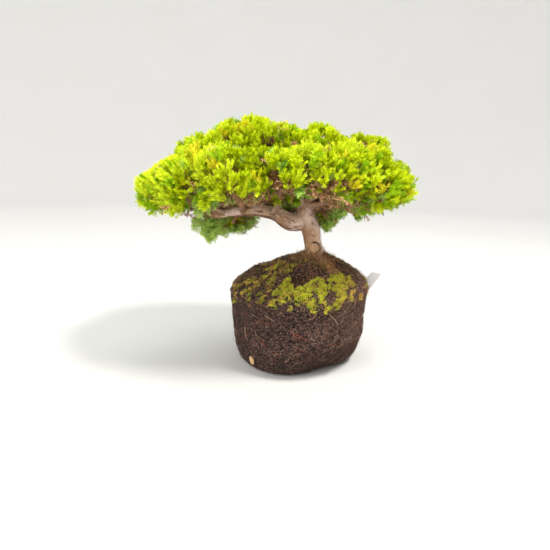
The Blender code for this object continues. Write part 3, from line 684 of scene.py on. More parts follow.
rng = np.random.default_rng(77)
turn = rng.uniform(0, FULL_TURN, LITTER)
rise = rng.uniform(top_rows[0] + 8, top_rows[-1], LITTER) / (RISE_STEPS - 1)
foot = on_ball(turn, rise, rng.uniform(0.0004, 0.0022, LITTER))
out = out_of_ball(turn, rise)
flat = rng.normal(0, 1, (LITTER, 3))
flat = flat - out * (flat * out).sum(1, keepdims=True)
flat = unit(flat + out * rng.normal(0.05, 0.22, (LITTER, 1)))
tip = foot + flat * rng.uniform(0.0020, 0.0070, (LITTER, 1))
shade = rng.choice(5, LITTER, p=[0.16, 0.07, 0.14, 0.36, 0.27])

around = rng.uniform(0, FULL_TURN, FOOT_FIBRES)
away = 0.0105 + 0.021 * rng.random(FOOT_FIBRES) ** 1.6
heap = 0.0065 * np.clip(1 - (away - 0.0105) / 0.012, 0, 1) * rng.random(FOOT_FIBRES)
fibre_foot = on_mound(TRUNK_FOOT + away * [np.cos(around), np.sin(around)], heap)
fibre_way = unit(rng.normal(0, 1, (FOOT_FIBRES, 3)) * [1, 1, 0.5] + [0, 0, 0.25])
fibre_tip = fibre_foot + fibre_way * rng.uniform(0.004, 0.011, (FOOT_FIBRES, 1))
fibre_shade = rng.choice(5, FOOT_FIBRES, p=[0.30, 0.16, 0.20, 0.24, 0.10])

down = rng.random(ROOT_FIBRES) * 0.034 + 0.008
aside = rng.normal(0, 0.0042, ROOT_FIBRES)
tangle_way = np.array([[math.cos(TANGLE_TURN)], [math.sin(TANGLE_TURN)]])
over_root = 0.0032 * np.exp(-((aside / 0.0035) ** 2)) * (1 - down / 0.05)
over_root = over_root + rng.uniform(0, 0.0014, ROOT_FIBRES)
tangle_across = tangle_way[::-1] * [[-1], [1]]
tangle_foot = on_mound(TRUNK_FOOT + tangle_way * down + tangle_across * aside, over_root)
tangle_fan = rng.normal(0, 0.6, (ROOT_FIBRES, 3)) * [1, 1, 0.35]
tangle_fan = unit(tangle_fan + [*tangle_way[:, 0], -0.25])
tangle_tip = tangle_foot + tangle_fan * rng.uniform(0.004, 0.010, (ROOT_FIBRES, 1))
tangle_shade = rng.choice(5, ROOT_FIBRES, p=[0.34, 0.36, 0.08, 0.18, 0.04])

bits = rng.normal([[HOLLOW_AT.x], [HOLLOW_AT.y]], 0.0075, (2, HOLLOW_BITS))
bit_foot = on_mound(bits, 0.0005)
bit_tip = bit_foot + unit(rng.normal(0, 1, (HOLLOW_BITS, 3)) * [1, 1, 0.4]) * 0.0022
bit_shade = rng.choice(5, HOLLOW_BITS, p=[0.2, 0.45, 0.0, 0.35, 0.0])

foot = np.concatenate([foot, fibre_foot, tangle_foot, bit_foot])
tip = np.concatenate([tip, fibre_tip, tangle_tip, bit_tip])
corners, faces = spikes(foot, tip, rng.uniform(0.00018, 0.00040, len(foot)))
shades = np.repeat(np.concatenate([shade, fibre_shade, tangle_shade, bit_shade]), 3)
new_piece("litter", corners, faces, litter_finishes, shades, smooth=False)

# The trunk, the long left bough and the surface roots: juniper wood under thin
# bark, grown together at the fork, with a healed pruning scar low on the
# front, a dark knot at the fork and the leader sawn off in a ragged stub.
TRUNK = [
    (0.0195, 0.006, 0.110, 0.0165),
    (0.0190, 0.006, 0.122, 0.0140),
    (0.0180, 0.005, 0.133, 0.0116),
    (0.0150, 0.005, 0.150, 0.0104),
    (0.0110, 0.004, 0.166, 0.0103),
    (0.0040, 0.004, 0.181, 0.0100),
    (0.0020, 0.005, 0.192, 0.0082),
    (0.0040, 0.005, 0.203, 0.0062),
]
LEFT_BOUGH = [
    (0.0060, 0.004, 0.1745, 0.0086),
    (-0.0060, 0.004, 0.1715, 0.0098),
    (-0.0170, 0.003, 0.1730, 0.0100),
    (-0.0290, 0.002, 0.1800, 0.0080),
    (-0.0430, 0.000, 0.1848, 0.0076),
    (-0.0600, -0.001, 0.1855, 0.0068),
    (-0.0800, -0.003, 0.1828, 0.0054),
    (-0.1040, -0.005, 0.1790, 0.0040),
]
ROOT_FLARES = [(-62, 0.032, 0.0044), (15, 0.018, 0.0034), (172, 0.018, 0.0034), (95, 0.018, 0.0034)]
ROOT_STATIONS = [(0.0, 0.0050, 1.30), (0.25, 0.0014, 1.05), (0.5, -0.0002, 0.85)]
ROOT_STATIONS += [(0.75, -0.0012, 0.65), (1.0, -0.0025, 0.40)]
SCAR_AT = np.array([0.0172, -0.0040, 0.1430])
SCAR_AXIS = np.array(Vector((-0.30, -0.95, 0.10)).normalized())
SCAR_RADIUS = 0.0056
SCAR_LENGTH = 0.0080
KNOT_AT = np.array([0.0125, -0.0060, 0.1725])
BARK_GRAIN = 0.00055


def smooth_route(stations, steps):
    """Catmull-Rom points between the given stations, radius included."""
    points = [Vector(s) for s in stations]
    ends = [2 * points[0] - points[1]] + points + [2 * points[-1] - points[-2]]
    route = []
    for i in range(1, len(ends) - 2):
        a, b, c, d = ends[i - 1 : i + 3]
        for t in np.arange(steps) / steps:
            bow = (2 * a - 5 * b + 4 * c - d) * t**2 + (3 * b - a - 3 * c + d) * t**3
            route.append(0.5 * (2 * b + (c - a) * t + bow))
    return np.array(route + [points[-1]])


trunk_line = smooth_route(TRUNK, 10)
left_line = smooth_route(LEFT_BOUGH, 10)
flare_lines = []
for degrees, length, radius in ROOT_FLARES:
    way = np.array([math.cos(math.radians(degrees)), math.sin(math.radians(degrees))])
    stations = []
    for share, lift, width in ROOT_STATIONS:
        x, y = TRUNK[2][:2] + way * (0.005 + length * share)
        stations.append((x, y, ground_under(x, y) + lift, radius * width))
    flare_lines.append(smooth_route(stations, 6))
scar_ends = SCAR_AT + np.outer([-0.5, 0.5], SCAR_AXIS * SCAR_LENGTH)
scar_route = np.column_stack([scar_ends, [SCAR_RADIUS] * 2])

wood = bpy.data.meshes.new("wood")
wood_corners, wood_faces = [], []
limbs = [(trunk_line, 28), (left_line, 24)] + [(line, 12) for line in flare_lines]
for route, sides in limbs + [(scar_route, 24)]:
    corners, faces, _ = tubes(route[None, :, :3], route[None, :, 3], sides)
    last = len(corners) - sides
    caps = [range(sides), range(last, last + sides)[::-1]]
    shift = len(wood_corners)
    wood_faces += [[i + shift for i in face] for face in [*faces.tolist(), *caps]]
    wood_corners += corners.tolist()
wood.from_pydata(wood_corners, [], wood_faces)
rough_wood = bpy.data.objects.new("rough_wood", wood)
studio.collection.objects.link(rough_wood)
grown = rough_wood.modifiers.new("grown_together", "REMESH")
grown.mode = "VOXEL"
grown.voxel_size = BARK_GRAIN
rough_wood.modifiers.new("eased", "SMOOTH").iterations = 4
bpy.context.view_layer.update()
finished = rough_wood.evaluated_get(bpy.context.evaluated_depsgraph_get())
wood_mesh = bpy.data.meshes.new_from_object(finished)
bpy.data.objects.remove(rough_wood)


def along_limbs(points, lines):
    """For each point: run along its nearest limb, way round it, and radius there."""
    samples = np.concatenate(lines)
    runs, frames = [], []
    for index, line in enumerate(lines):
        steps = np.linalg.norm(np.diff(line[:, :3], axis=0), axis=1)
        runs.append(np.concatenate([[0], np.cumsum(steps)]) + index * 0.7)
        way = unit(np.gradient(line[:, :3], axis=0))
        across = unit(np.cross(way, [0.1, 1.0, 0.2]))
        frames.append(np.stack([way, across, np.cross(way, across)], 1))
    nearest = []
    for block in np.array_split(points, len(points) // 4000 + 1):
        gap = np.linalg.norm(block[:, None] - samples[None, :, :3], axis=2) - samples[None, :, 3]
        nearest.append(np.argmin(gap, axis=1))
    nearest = np.concatenate(nearest)
    off = points - samples[nearest, :3]
    local = np.einsum("nij,nj->ni", np.concatenate(frames)[nearest], off)
    angle = np.arctan2(local[:, 2], local[:, 1])
    return np.concatenate(runs)[nearest] + local[:, 0], angle, samples[nearest, 3]


def bark_relief(run, angle, radius, points):
    """Height of the bark, how deep in a crack each point is, and its place in the grain."""
    radius = np.maximum(radius, 0.003)
    ring = np.stack([np.cos(angle) * radius, np.sin(angle) * radius, run * 0.16], 1)
    plates = noise_at(ring, 230) + 0.35 * noise_at(ring, 560, 4.0)
    rough = np.clip(0.25 + 1.9 * noise_at(points, 42, 8.0), 0.05, 0.9)
    crack = np.exp(-((plates / 0.045) ** 2)) * rough * 0.75
    height = 0.0004 + 0.0014 * noise_at(points, 75, 1.0) + 0.0004 * plates * (0.3 + rough)
    return height + 0.00018 * noise_at(ring, 1300, 2.0) - 0.0005 * crack, crack, ring


def bell(value, width):
    """1 where the value is 0, falling to 0 over the width."""
    return np.exp(-((value / width) ** 2))


def read_points(field):
    values = np.empty(len(wood_mesh.vertices) * 3, np.float32)
    wood_mesh.vertices.foreach_get(field, values)
    return values.reshape(-1, 3).astype(float)


points, out = read_points("co"), read_points("normal")
run, angle, radius = along_limbs(points, [trunk_line, left_line, *flare_lines])
height, crack, ring = bark_relief(run, angle, radius, points)
crack = crack * np.where((points[:, 2] < 0.169) & (points[:, 0] > 0.002), 0.35, 1.0)

# the pruning scar, healed over at its edge; the knot; the ragged top of the stub
from_scar = points - SCAR_AT
deep = from_scar @ SCAR_AXIS
aside = np.linalg.norm(from_scar - deep[:, None] * SCAR_AXIS, axis=1)
front = deep > -0.0035
open_side = np.clip(0.60 + (from_scar[:, 0] + 0.7 * from_scar[:, 2]) / 0.007, 0.15, 1.0)
groove = front * open_side * bell(aside - 0.0062, 0.0010)
height = height * np.where(front & (aside < 0.005), 0.35, 1.0)
height = height + 0.0006 * front * bell(aside - 0.0052, 0.0011) - 0.0015 * groove
knot = bell(np.linalg.norm((points - KNOT_AT) * [1, 1, 0.7], axis=1), 0.0030)
knot = knot * (0.75 + 0.5 * noise_at(points, 420, 9.0))
at_top = np.clip((points[:, 2] - 0.1985) / 0.004, 0, 1) * (np.abs(points[:, 0] - 0.004) < 0.012)
height = height - 0.0014 * knot + at_top * 0.0016 * noise_at(points, 620, 3.0)
# How dark the bark is painted: painted shade by depth in the cracks and the scar's groove, and dark
# at the knot and the stub's ragged top
depth = np.maximum.reduce([crack * 0.8, groove, knot * 0.8, at_top * 0.9])
points = points + out * height[:, None]
wood_mesh.vertices.foreach_set("co", points.astype(np.float32).ravel())
foot = (0.1395 + 0.002 * noise_at(points, 150, 6.0) - points[:, 2]) / 0.005
mark(wood_mesh, "bark_crack", np.clip(depth, 0, 1))
mark(wood_mesh, "bark_grain", ring)
# painted light: how squarely the bark faces right and up, the side the key lamp lights; the bark is
# painted paler there and darker opposite
mark(wood_mesh, "bark_sunny", np.clip(0.5 + 0.5 * (out @ [0.85, 0.1, 0.5]), 0, 1))
mark(wood_mesh, "bark_foot", np.clip(foot, 0, 1))
wood_mesh.update()
wood_mesh.polygons.foreach_set("use_smooth", np.ones(len(wood_mesh.polygons), bool))


def bark_finish(name, *tints, streaked=False):
    """Juniper bark: pale where worn, warm where fresh, dark, painted shade in cracks, painted light
    on one side.
    """
    pale, warm, dark, black = [colour(*tint) for tint in tints]
    bark = Finish(name, 0.82, Specular_IOR_Level=0.3)
    spot = bark.place()
    grain_place = bark.marked("bark_grain", "Vector") if streaked else spot
    stain = bark.between(bark.grain(grain_place, 210, 4, 0.6), 0.50, 0.68)
    fibre = bark.grain(grain_place, 620, 4, 0.65)
    mottle = bark.grain(spot, 190, 4, 0.6)
    tone = bark.tint(bark.between(bark.grain(spot, 48, 3), 0.40, 0.62), warm, pale)
    tone = bark.tint(stain * (0.45 if streaked else 0.85), tone, dark)
    tone = bark.tint(bark.between(mottle, 0.54, 0.66) * 0.55, tone, dark)
    if streaked:
        # painted light: paler in patches where the limb faces the key lamp's side, darker on the
        # far side
        painted_sun_patches = bark.marked("bark_sunny") + bark.grain(spot, 120, 3) * 0.6
        tone = bark.tint(bark.between(painted_sun_patches, 0.75, 0.40) * 0.75, tone, dark)
        tone = bark.tint(bark.between(painted_sun_patches, 0.98, 1.22) * 0.8, tone, pale)
    tone = bark.tint(bark.between(fibre, 0.56, 0.74) * 0.3, tone, pale)
    tone = bark.tint(bark.between(fibre, 0.44, 0.28) * 0.4, tone, black)
    # painted shade: black by how deep the bark lies in cracks and the scar's groove; also dark at
    # the knot, the stub's ragged top and at random on the strips
    tone = bark.tint(bark.between(bark.marked("bark_crack"), 0.25, 1.0), tone, black)
    if streaked:
        fuzz = bark.between(fibre, 0.38, 0.62)
        fuzz = bark.tint(fuzz, colour(70, 50, 32), colour(176, 126, 80))
        tone = bark.tint(bark.marked("bark_foot") * 0.9, tone, fuzz)
    bark.feed("Base Color", tone)
    bark.relief(fibre + mottle * 0.8, 0.0007, 0.5)
    return bark


TRUNK_TINTS = (226, 198, 184), (190, 152, 118), (138, 98, 70), (80, 54, 38)
wood_mesh.materials.clear()
wood_mesh.name = "trunk_and_long_bough"
trunk_bark = bark_finish("trunk_bark", *TRUNK_TINTS, streaked=True)
dressed(wood_mesh, [trunk_bark], ["trunk", "bough_left"])

# Strips of bark that have split along the limbs and lift at one end, red-brown
# where they are fresh, most of them under the long bough.
STRIPS = 170
STRIP_POINTS = 8
FRESH_TINTS = (160, 112, 82), (140, 92, 64), (108, 70, 48), (76, 48, 34)
OLD_TINTS = (166, 136, 112), (138, 106, 80), (104, 78, 58), (72, 52, 38)
strip_finishes = [bark_finish("fresh_strip", *FRESH_TINTS), bark_finish("old_strip", *OLD_TINTS)]
rng = np.random.default_rng(8)
strip_lines, strip_out, strip_wide = [], [], []
for _ in range(STRIPS):
    line = left_line if rng.random() < 0.68 else trunk_line[22:]
    at = rng.integers(4, len(line) - 14)
    span = int(rng.integers(5, 14))
    piece = resampled(line[at : at + span], np.linspace(0, span - 1, STRIP_POINTS))
    way = unit(np.gradient(piece[:, :3], axis=0))
    across = unit(np.cross(way, [0.1, 1.0, 0.2]))
    over = np.cross(way, across)
    base = rng.uniform(0, FULL_TURN)
    if line is left_line and rng.random() < 0.75:
        base = math.atan2(-over[0] @ [0, 0.5, 1.0], -across[0] @ [0, 0.5, 1.0]) + rng.normal(0, 0.7)
    angles = base + np.linspace(0, rng.normal(0, 0.25), STRIP_POINTS)
    ray = across * np.cos(angles)[:, None] + over * np.sin(angles)[:, None]
    lifted = 0.0004 + rng.uniform(0.0001, 0.0013) * np.linspace(0, 1, STRIP_POINTS) ** 3
    strip_lines.append(piece[:, :3] + ray * (piece[:, 3] + lifted)[:, None])
    strip_out.append(ray)
    strip_wide.append(rng.uniform(0.0003, 0.0009) * np.sin(np.linspace(0.25, 2.8, STRIP_POINTS)))
strip_arrays = np.array(strip_lines), np.array(strip_wide), 4, np.array(strip_out), 0.22
corners, faces, each = tubes(*strip_arrays)
shades = np.repeat((rng.random(STRIPS) > 0.6).astype(int), each)
strips = new_piece("bark_strips", corners, faces, strip_finishes, shades)
mark(strips, "bark_crack", np.repeat(rng.uniform(0, 0.5, STRIPS), len(corners) // STRIPS))

# Dry moss, fine roots and dead needles that cling to the foot of the trunk and
# run up it for about a centimetre.
CLINGING = 2600
rng = np.random.default_rng(19)
low_wood = np.clip((0.1425 - points[:, 2]) / 0.010, 0, 1) * (points[:, 2] > 0.112)
picked = rng.choice(len(points), CLINGING, p=low_wood / low_wood.sum())
foot = points[picked] - out[picked] * 0.0003
way = unit(rng.normal(0, 1, foot.shape) + out[picked] * 0.55 + [0, 0, -0.25])
tip = foot + way * rng.uniform(0.002, 0.0075, (CLINGING, 1))
corners, faces = spikes(foot, tip, rng.uniform(0.00018, 0.00038, CLINGING))
shades = np.repeat(rng.choice(5, CLINGING, p=[0.20, 0.14, 0.30, 0.24, 0.12]), 3)
new_piece("clinging_fibres", corners, faces, litter_finishes, shades, smooth=False)

# The thin boughs that leave the trunk and the long bough, low at first and then
# up into the pads of foliage, each of which has its middle and reach here.
# Their bark is rougher and redder.
PADS = {
    "left_tip": ((-0.160, -0.008, 0.209), (0.037, 0.042, 0.029)),
    "left_front": ((-0.124, -0.060, 0.218), (0.042, 0.040, 0.031)),
    "left_shoulder": ((-0.117, -0.004, 0.241), (0.040, 0.044, 0.034)),
    "left_back": ((-0.122, 0.050, 0.222), (0.044, 0.042, 0.034)),
    "left_crown": ((-0.074, 0.004, 0.260), (0.040, 0.046, 0.038)),
    "front_left": ((-0.076, -0.080, 0.225), (0.042, 0.042, 0.033)),
    "front_centre": ((-0.024, -0.086, 0.224), (0.042, 0.040, 0.033)),
    "top_centre": ((-0.030, -0.008, 0.253), (0.042, 0.048, 0.036)),
    "front_top": ((0.024, -0.076, 0.228), (0.040, 0.040, 0.033)),
    "top_right": ((0.016, 0.010, 0.254), (0.040, 0.048, 0.036)),
    "right_upper": ((0.063, -0.004, 0.246), (0.044, 0.048, 0.036)),
    "front_right": ((0.072, -0.058, 0.222), (0.040, 0.040, 0.032)),
    "right_tip": ((0.096, 0.004, 0.219), (0.033, 0.042, 0.030)),
    "right_back": ((0.074, 0.057, 0.226), (0.042, 0.042, 0.035)),
    "back_right": ((0.025, 0.071, 0.230), (0.042, 0.042, 0.036)),
    "back_centre": ((-0.028, 0.074, 0.231), (0.042, 0.042, 0.036)),
    "back_left": ((-0.078, 0.068, 0.230), (0.042, 0.042, 0.036)),
    "hanging_left": ((-0.092, 0.018, 0.163), (0.041, 0.026, 0.021)),
    "inner_left": ((-0.024, 0.036, 0.199), (0.022, 0.018, 0.013)),
    "trunk_sprig": ((0.033, 0.020, 0.182), (0.016, 0.014, 0.017)),
    "right_low": ((0.058, 0.008, 0.194), (0.030, 0.024, 0.013)),
}
SHADED_PADS = ("hanging_left", "inner_left", "trunk_sprig", "right_low")
# Each bough's parent limb, how far along it the bough leaves, its pad and radius
BOUGHS = [
    ("left_outer", "left", 0.98, "left_tip", 0.0034),
    ("left_front", "left", 0.90, "left_front", 0.0030),
    ("left_shoulder", "left", 0.84, "left_shoulder", 0.0030),
    ("left_back", "left", 0.94, "left_back", 0.0030),
    ("left_crown", "left", 0.64, "left_crown", 0.0036),
    ("front_left", "left", 0.76, "front_left", 0.0032),
    ("front_centre", "left", 0.50, "front_centre", 0.0030),
    ("hanging", "left", 0.70, "hanging_left", 0.0030),
    ("top_centre", "trunk", 0.97, "top_centre", 0.0036),
    ("front_top", "trunk", 0.92, "front_top", 0.0030),
    ("top_right", "trunk", 0.99, "top_right", 0.0034),
    ("right_upper", "trunk", 0.94, "right_upper", 0.0036),
    ("front_right", "trunk", 0.86, "front_right", 0.0032),
    ("right_tip", "trunk", 0.88, "right_tip", 0.0034),
    ("right_back", "trunk", 0.91, "right_back", 0.0034),
    ("back_right", "trunk", 0.95, "back_right", 0.0032),
    ("back_centre", "trunk", 0.89, "back_centre", 0.0034),
    ("back_left", "left", 0.68, "back_left", 0.0034),
    ("inner_left", "trunk", 0.78, "inner_left", 0.0024),
    ("sprig", "trunk", 0.60, "trunk_sprig", 0.0020),
    ("right_low", "trunk", 0.82, "right_low", 0.0026),
]
TIP_SHARE = 0.60
BEND_SHARE = 0.58
BEND_RISE = 0.20
ENTRY_SHARE = 0.50
ENTRY_BELOW = 0.45
BOUGH_WAVE = 0.0022
WAVE_TURN = 7.0
BOUGH_POINTS = 25
BOUGH_RINGS = 73
BOUGH_SIDES = 16
COLLAR = 0.35
BOUGH_TINTS = (204, 174, 152), (166, 128, 96), (122, 86, 60), (70, 46, 34)


def bough_route(name, start, pad, radius):
    """Out from the parent limb, low at first, then up into the pad."""
    centre, reach = map(Vector, PADS[pad])
    begin = Vector(start[:3])
    back = Vector([(b - c) / r for b, c, r in zip(begin, centre, reach)]).normalized()
    if pad not in SHADED_PADS:
        back.z = min(back.z, -ENTRY_BELOW)
        back.normalize()
    end = centre + Vector([b * r * ENTRY_SHARE for b, r in zip(back, reach)])
    bend = begin.lerp(end, BEND_SHARE)
    bend.z = begin.z + BEND_RISE * (end.z - begin.z)
    phase = random.Random(name).uniform(0, FULL_TURN)
    route = []
    for t in np.linspace(0, 1, BOUGH_POINTS):
        spot = begin * (1 - t) ** 2 + bend * 2 * t * (1 - t) + end * t**2
        turn = phase + WAVE_TURN * t
        wave = Vector((math.cos(turn), math.sin(turn), 0.5 * math.sin(turn + 1)))
        spot += wave * (BOUGH_WAVE * math.sin(math.pi * t))
        collar = 1 + COLLAR * math.exp(-((t / 0.13) ** 2))
        route.append((*spot, radius * (1 - (1 - TIP_SHARE) * t) * collar))
    return np.array(route)


source_limbs = {"trunk": smooth_route(TRUNK, 2), "left": smooth_route(LEFT_BOUGH, 2)}
bough_lines = {}
for name, parent, share, pad, radius in BOUGHS:
    limb = source_limbs[parent]
    start = limb[min(len(limb) - 1, round(share * (len(limb) - 1)))]
    bough_lines[pad] = bough_route("bough_" + name, start, pad, radius)
finer = np.linspace(0, BOUGH_POINTS - 1, BOUGH_RINGS)
lines = np.array([resampled(line, finer) for line in bough_lines.values()])
lines[:, -1, 3] *= 0.1
corners, faces, _ = tubes(lines[..., :3], lines[..., 3], BOUGH_SIDES)
ring = corners.reshape(len(lines), BOUGH_RINGS, BOUGH_SIDES, 3)
round_limb = unit(ring - lines[:, :, None, :3]).reshape(-1, 3)


def on_rings(values):
    """A value for each bough, ring and side, as one list of points has them."""
    return np.broadcast_to(values, ring.shape[:3]).ravel()


angle = on_rings(np.arange(BOUGH_SIDES) * FULL_TURN / BOUGH_SIDES)
run = on_rings(np.linspace(0, 0.18, BOUGH_RINGS)[None, :, None])
limb_radius = on_rings(lines[:, :, None, 3])
height, crack, grain = bark_relief(run, angle, limb_radius * 2.2, corners)
height = height + 0.0005 * noise_at(corners * [1, 1, 0.6], 420, 12.0)
height.reshape(len(lines), -1)[:, -BOUGH_SIDES:] *= 0.05
corners = corners + round_limb * height[:, None]
bough_bark = bark_finish("bough_bark", *BOUGH_TINTS, streaked=True)
bough_names = ["bough_" + name for name, *_ in BOUGHS]
boughs = new_piece("thin_boughs", corners, faces, [bough_bark], replaced=bough_names)
mark(boughs, "bark_crack", crack)
mark(boughs, "bark_grain", grain)
# painted light: each bough paler on top and darker below, and all of it darker towards the pads
less_lit_towards_pads = on_rings(np.linspace(1, 0.3, BOUGH_RINGS)[None, :, None])
mark(boughs, "bark_sunny", (0.5 + 0.5 * round_limb[:, 2]) * less_lit_towards_pads)

# Short stubs where side shoots were cut from the top of the long bough, their
# cut faces still pale: how far along it, lean, length and radius.
CUT_STUBS = [
    (0.66, 0.15, 0.0042, 0.0011),
    (0.69, 0.0, 0.0050, 0.0012),
    (0.72, -0.2, 0.0036, 0.0010),
    (0.40, 0.9, 0.0035, 0.0012),
    (0.83, 0.4, 0.0040, 0.0010),
    (0.30, -0.7, 0.0030, 0.0013),
]
STUB_SIDES = 10
STUB_PROFILE = [(0.0, 1.2), (0.5, 1.0), (0.94, 0.96), (1.0, 0.8), (1.0, 0.02)]
cut_wood = Finish("cut_wood", 0.7)
rings = cut_wood.grain(cut_wood.place(), 1400, 2)
cut_wood.feed("Base Color", cut_wood.tint(rings, colour(206, 190, 160), colour(244, 236, 216)))
stub_lines = []
for share, lean, length, radius in CUT_STUBS:
    x, y, z, limb = left_line[int(share * (len(left_line) - 1))]
    way = Vector((0.15 * lean, -0.35 + 0.3 * lean, 1.0)).normalized()
    foot = Vector((x, y, z)) + way * (limb - 0.001)
    stub_lines.append([(*(foot + way * (length * t)), radius * w) for t, w in STUB_PROFILE])
stub_lines = np.array(stub_lines)
stub_lines[:, 4, :3] += (stub_lines[:, 3, :3] - stub_lines[:, 2, :3]) * 0.05
corners, faces, _ = tubes(stub_lines[..., :3], stub_lines[..., 3], STUB_SIDES)
shades = np.tile(np.repeat([1, 1, 0, 0], STUB_SIDES), len(CUT_STUBS))
stubs = new_piece("cut_stubs", corners, faces, [cut_wood, bough_bark], shades, smooth=False)
mark(stubs, "bark_crack", np.zeros(len(corners)))
mark(stubs, "bark_grain", corners)
mark(stubs, "bark_sunny", np.full(len(corners), 0.5))

# The foliage: pads of upright shoots. From each thin bough's tip a stem runs to
# the middle of its pad, main twigs fork from there, finer twigs from those,
# and each ends in a spray of shoots ringed with short awl-shaped needles.
SEED = 11
TWIG_COUNT = 12
LOWEST_TWIG = -0.62
HANGING_TWIG = -0.95
SHOOT_MARGIN = -0.13
UPTURN = 0.85
SHOOT_SMALLEST = 0.62
FULL_REACH = 0.030
TWIG_FORK = 0.5
SPRAYS = 150
INNER_SPRAYS = 42
SPRAY_LENGTH = 0.0205
SIDE_SHOOTS = 4
LEADER_WHORLS = 14
SIDE_WHORLS = 11
BARE_FOOT = 0.34
NEEDLE_WIDTH = 0.00051
CROWN_MIDDLE = np.array((-0.032, -0.005, 0.212))
CROWN_REACH = np.array((0.160, 0.120, 0.085))
SEAM_FILL = 0.011
CLUMPS_PER_METRE = 34
SPRAYS_ON_BOUGH = 6
pad_names = list(PADS)
pad_centres = np.array([PADS[pad][0] for pad in pad_names])
pad_reaches = np.array([PADS[pad][1] for pad in pad_names])


def twig_directions(count, lowest, rng):
    """Even directions over the part of a ball above a lowest height."""
    golden = math.pi * (3 - math.sqrt(5))
    phase = rng.uniform(0, FULL_TURN)
    for k in range(count):
        height = 1 - (1 - lowest) * (k + 0.5) / count
        flat = math.sqrt(max(0.0, 1 - height * height))
        turn = phase + golden * k + rng.uniform(-0.2, 0.2)
        yield flat * math.cos(turn), flat * math.sin(turn), height


def pad_distances(points):
    """Distance of each point from each pad's middle, as a share of its reach."""
    return np.linalg.norm((points[:, None] - pad_centres) / pad_reaches, axis=2)


def in_own_space(points, pad_index, margin):
    apart = pad_distances(points)
    own = apart[:, pad_index] * (1 + margin)
    apart[:, pad_index] = np.inf
    return own < apart.min(axis=1)


limb_samples = np.concatenate([trunk_line, left_line, *bough_lines.values()])


def clear_of_limbs(points, radius):
    gap = np.linalg.norm(points[:, None] - limb_samples[None, :, :3], axis=2)
    return (gap - limb_samples[None, :, 3]).min(axis=1) > radius


# Places in the crown where needles are thin and dead twigs show: middle, reach
# and the number of dead twigs
BARE_PLACES = [
    ((0.012, -0.095, 0.216), (0.027, 0.040, 0.020), 46),
    ((-0.018, -0.090, 0.204), (0.050, 0.045, 0.010), 34),
    ((-0.070, -0.080, 0.202), (0.030, 0.040, 0.009), 26),
    ((0.050, -0.075, 0.202), (0.032, 0.036, 0.011), 26),
    ((-0.030, 0.085, 0.208), (0.040, 0.030, 0.014), 24),
    ((-0.060, 0.022, 0.203), (0.045, 0.030, 0.009), 46),
    ((0.020, 0.030, 0.206), (0.030, 0.026, 0.009), 16),
]
# Deep places between pads, where the green is painted darker as painted shade
DEEP_PLACES = [
    ((-0.060, -0.095, 0.245), (0.027, 0.052, 0.016)),
    ((0.040, -0.080, 0.217), (0.022, 0.034, 0.014)),
]
# How low the growth in front of the limbs may hang, so that the long bough and
# the fork are seen: by place across the tree, for dead growth and for green
VIEW_ACROSS = [-0.116, -0.098, -0.070, -0.045, -0.035, -0.012, -0.002, 0.016, 0.024, 0.050]
DEAD_EDGE = [0.17, 0.188, 0.189, 0.191, 0.203, 0.204, 0.204, 0.202, 0.190, 0.17]
GREEN_EDGE = [0.17, 0.193, 0.196, 0.203, 0.209, 0.210, 0.213, 0.212, 0.206, 0.17]
# How low the mass under the long bough hangs, by place across the tree
HANG_ACROSS = [-0.135, -0.118, -0.104, -0.090, -0.075, -0.050]
HANG_FLOOR = [0.156, 0.141, 0.148, 0.154, 0.158, 0.163]


def hangs_in_view(points, edge):
    """Points that would hide the limbs from in front."""
    x, y, z = points.T
    nearer = (EYE.y - y) / EYE.y
    top = np.interp(EYE.x + (x - EYE.x) / nearer, VIEW_ACROSS, edge)
    return (y < -0.008) & (z < EYE.z + (top - EYE.z) * nearer)


# The height of the crown's outline, by place across the tree
CROWN_ACROSS = [-0.190, -0.162, -0.148, -0.134, -0.117, -0.100, -0.072, -0.064, -0.054, -0.024]
CROWN_TOP = [0.223, 0.242, 0.249, 0.268, 0.265, 0.285, 0.284, 0.303, 0.292, 0.287]
CROWN_ACROSS += [-0.003, 0.011, 0.024, 0.050, 0.060, 0.092, 0.101, 0.121]
CROWN_TOP += [0.277, 0.290, 0.286, 0.270, 0.277, 0.274, 0.243, 0.244]
CROWN_SPARE = 0.004
# How far back the shoots reach, as the solids do
BACK_REACH = 0.1105


def under_outline(points):
    """How far each point stands above the crown's outline, seen from in front."""
    x, y, z = points.T
    nearer = (EYE.y - y) / EYE.y
    top = np.interp(EYE.x + (x - EYE.x) / nearer, CROWN_ACROSS, CROWN_TOP) - CROWN_SPARE
    return np.clip(z - EYE.z - (top - EYE.z) * nearer, 0, 0.028)


def depth_in(places, points):
    """1 in the middle of any of the places, 0 outside them."""
    best = np.zeros(len(points))
    for middle, reach, *_ in places:
        away = np.linalg.norm((points - np.array(middle)) / np.array(reach), axis=1)
        best = np.maximum(best, np.clip(1.25 - away, 0, 1))
    return best


# The needles' greens: a ramp from painted deep shade to painted sunlit highlight, dealt out by each
# needle's tone; bluer greens, partly the needles' own bloom and partly painted shade, for needles
# that get little light, with pale_glint_needle a painted glint; and other greens of their own
GREENS = {
    "deep_needle": (62, 74, 8),
    "shade_needle": (98, 112, 8),
    "mid_needle": (134, 149, 6),
    "fresh_needle": (162, 178, 4),
    "lime_needle": (181, 197, 3),
    "bright_needle": (197, 212, 6),
    "sunlit_needle": (212, 226, 40),
}
BLUES = {
    "dark_blue_needle": (52, 92, 28),
    "blue_needle": (96, 142, 44),
    "sea_needle": (142, 184, 66),
    "pale_glint_needle": (190, 216, 108),
}
OTHER_GREENS = {
    "ochre_needle": (168, 158, 24),
    "golden_needle": (216, 208, 38),
    "grass_needle": (112, 148, 16),
    "leaf_needle": (158, 194, 20),
}
WARM, COLD, GOLDEN, GRASSY = range(4)
NEEDLE_TINTS = {**GREENS, **BLUES, **OTHER_GREENS}
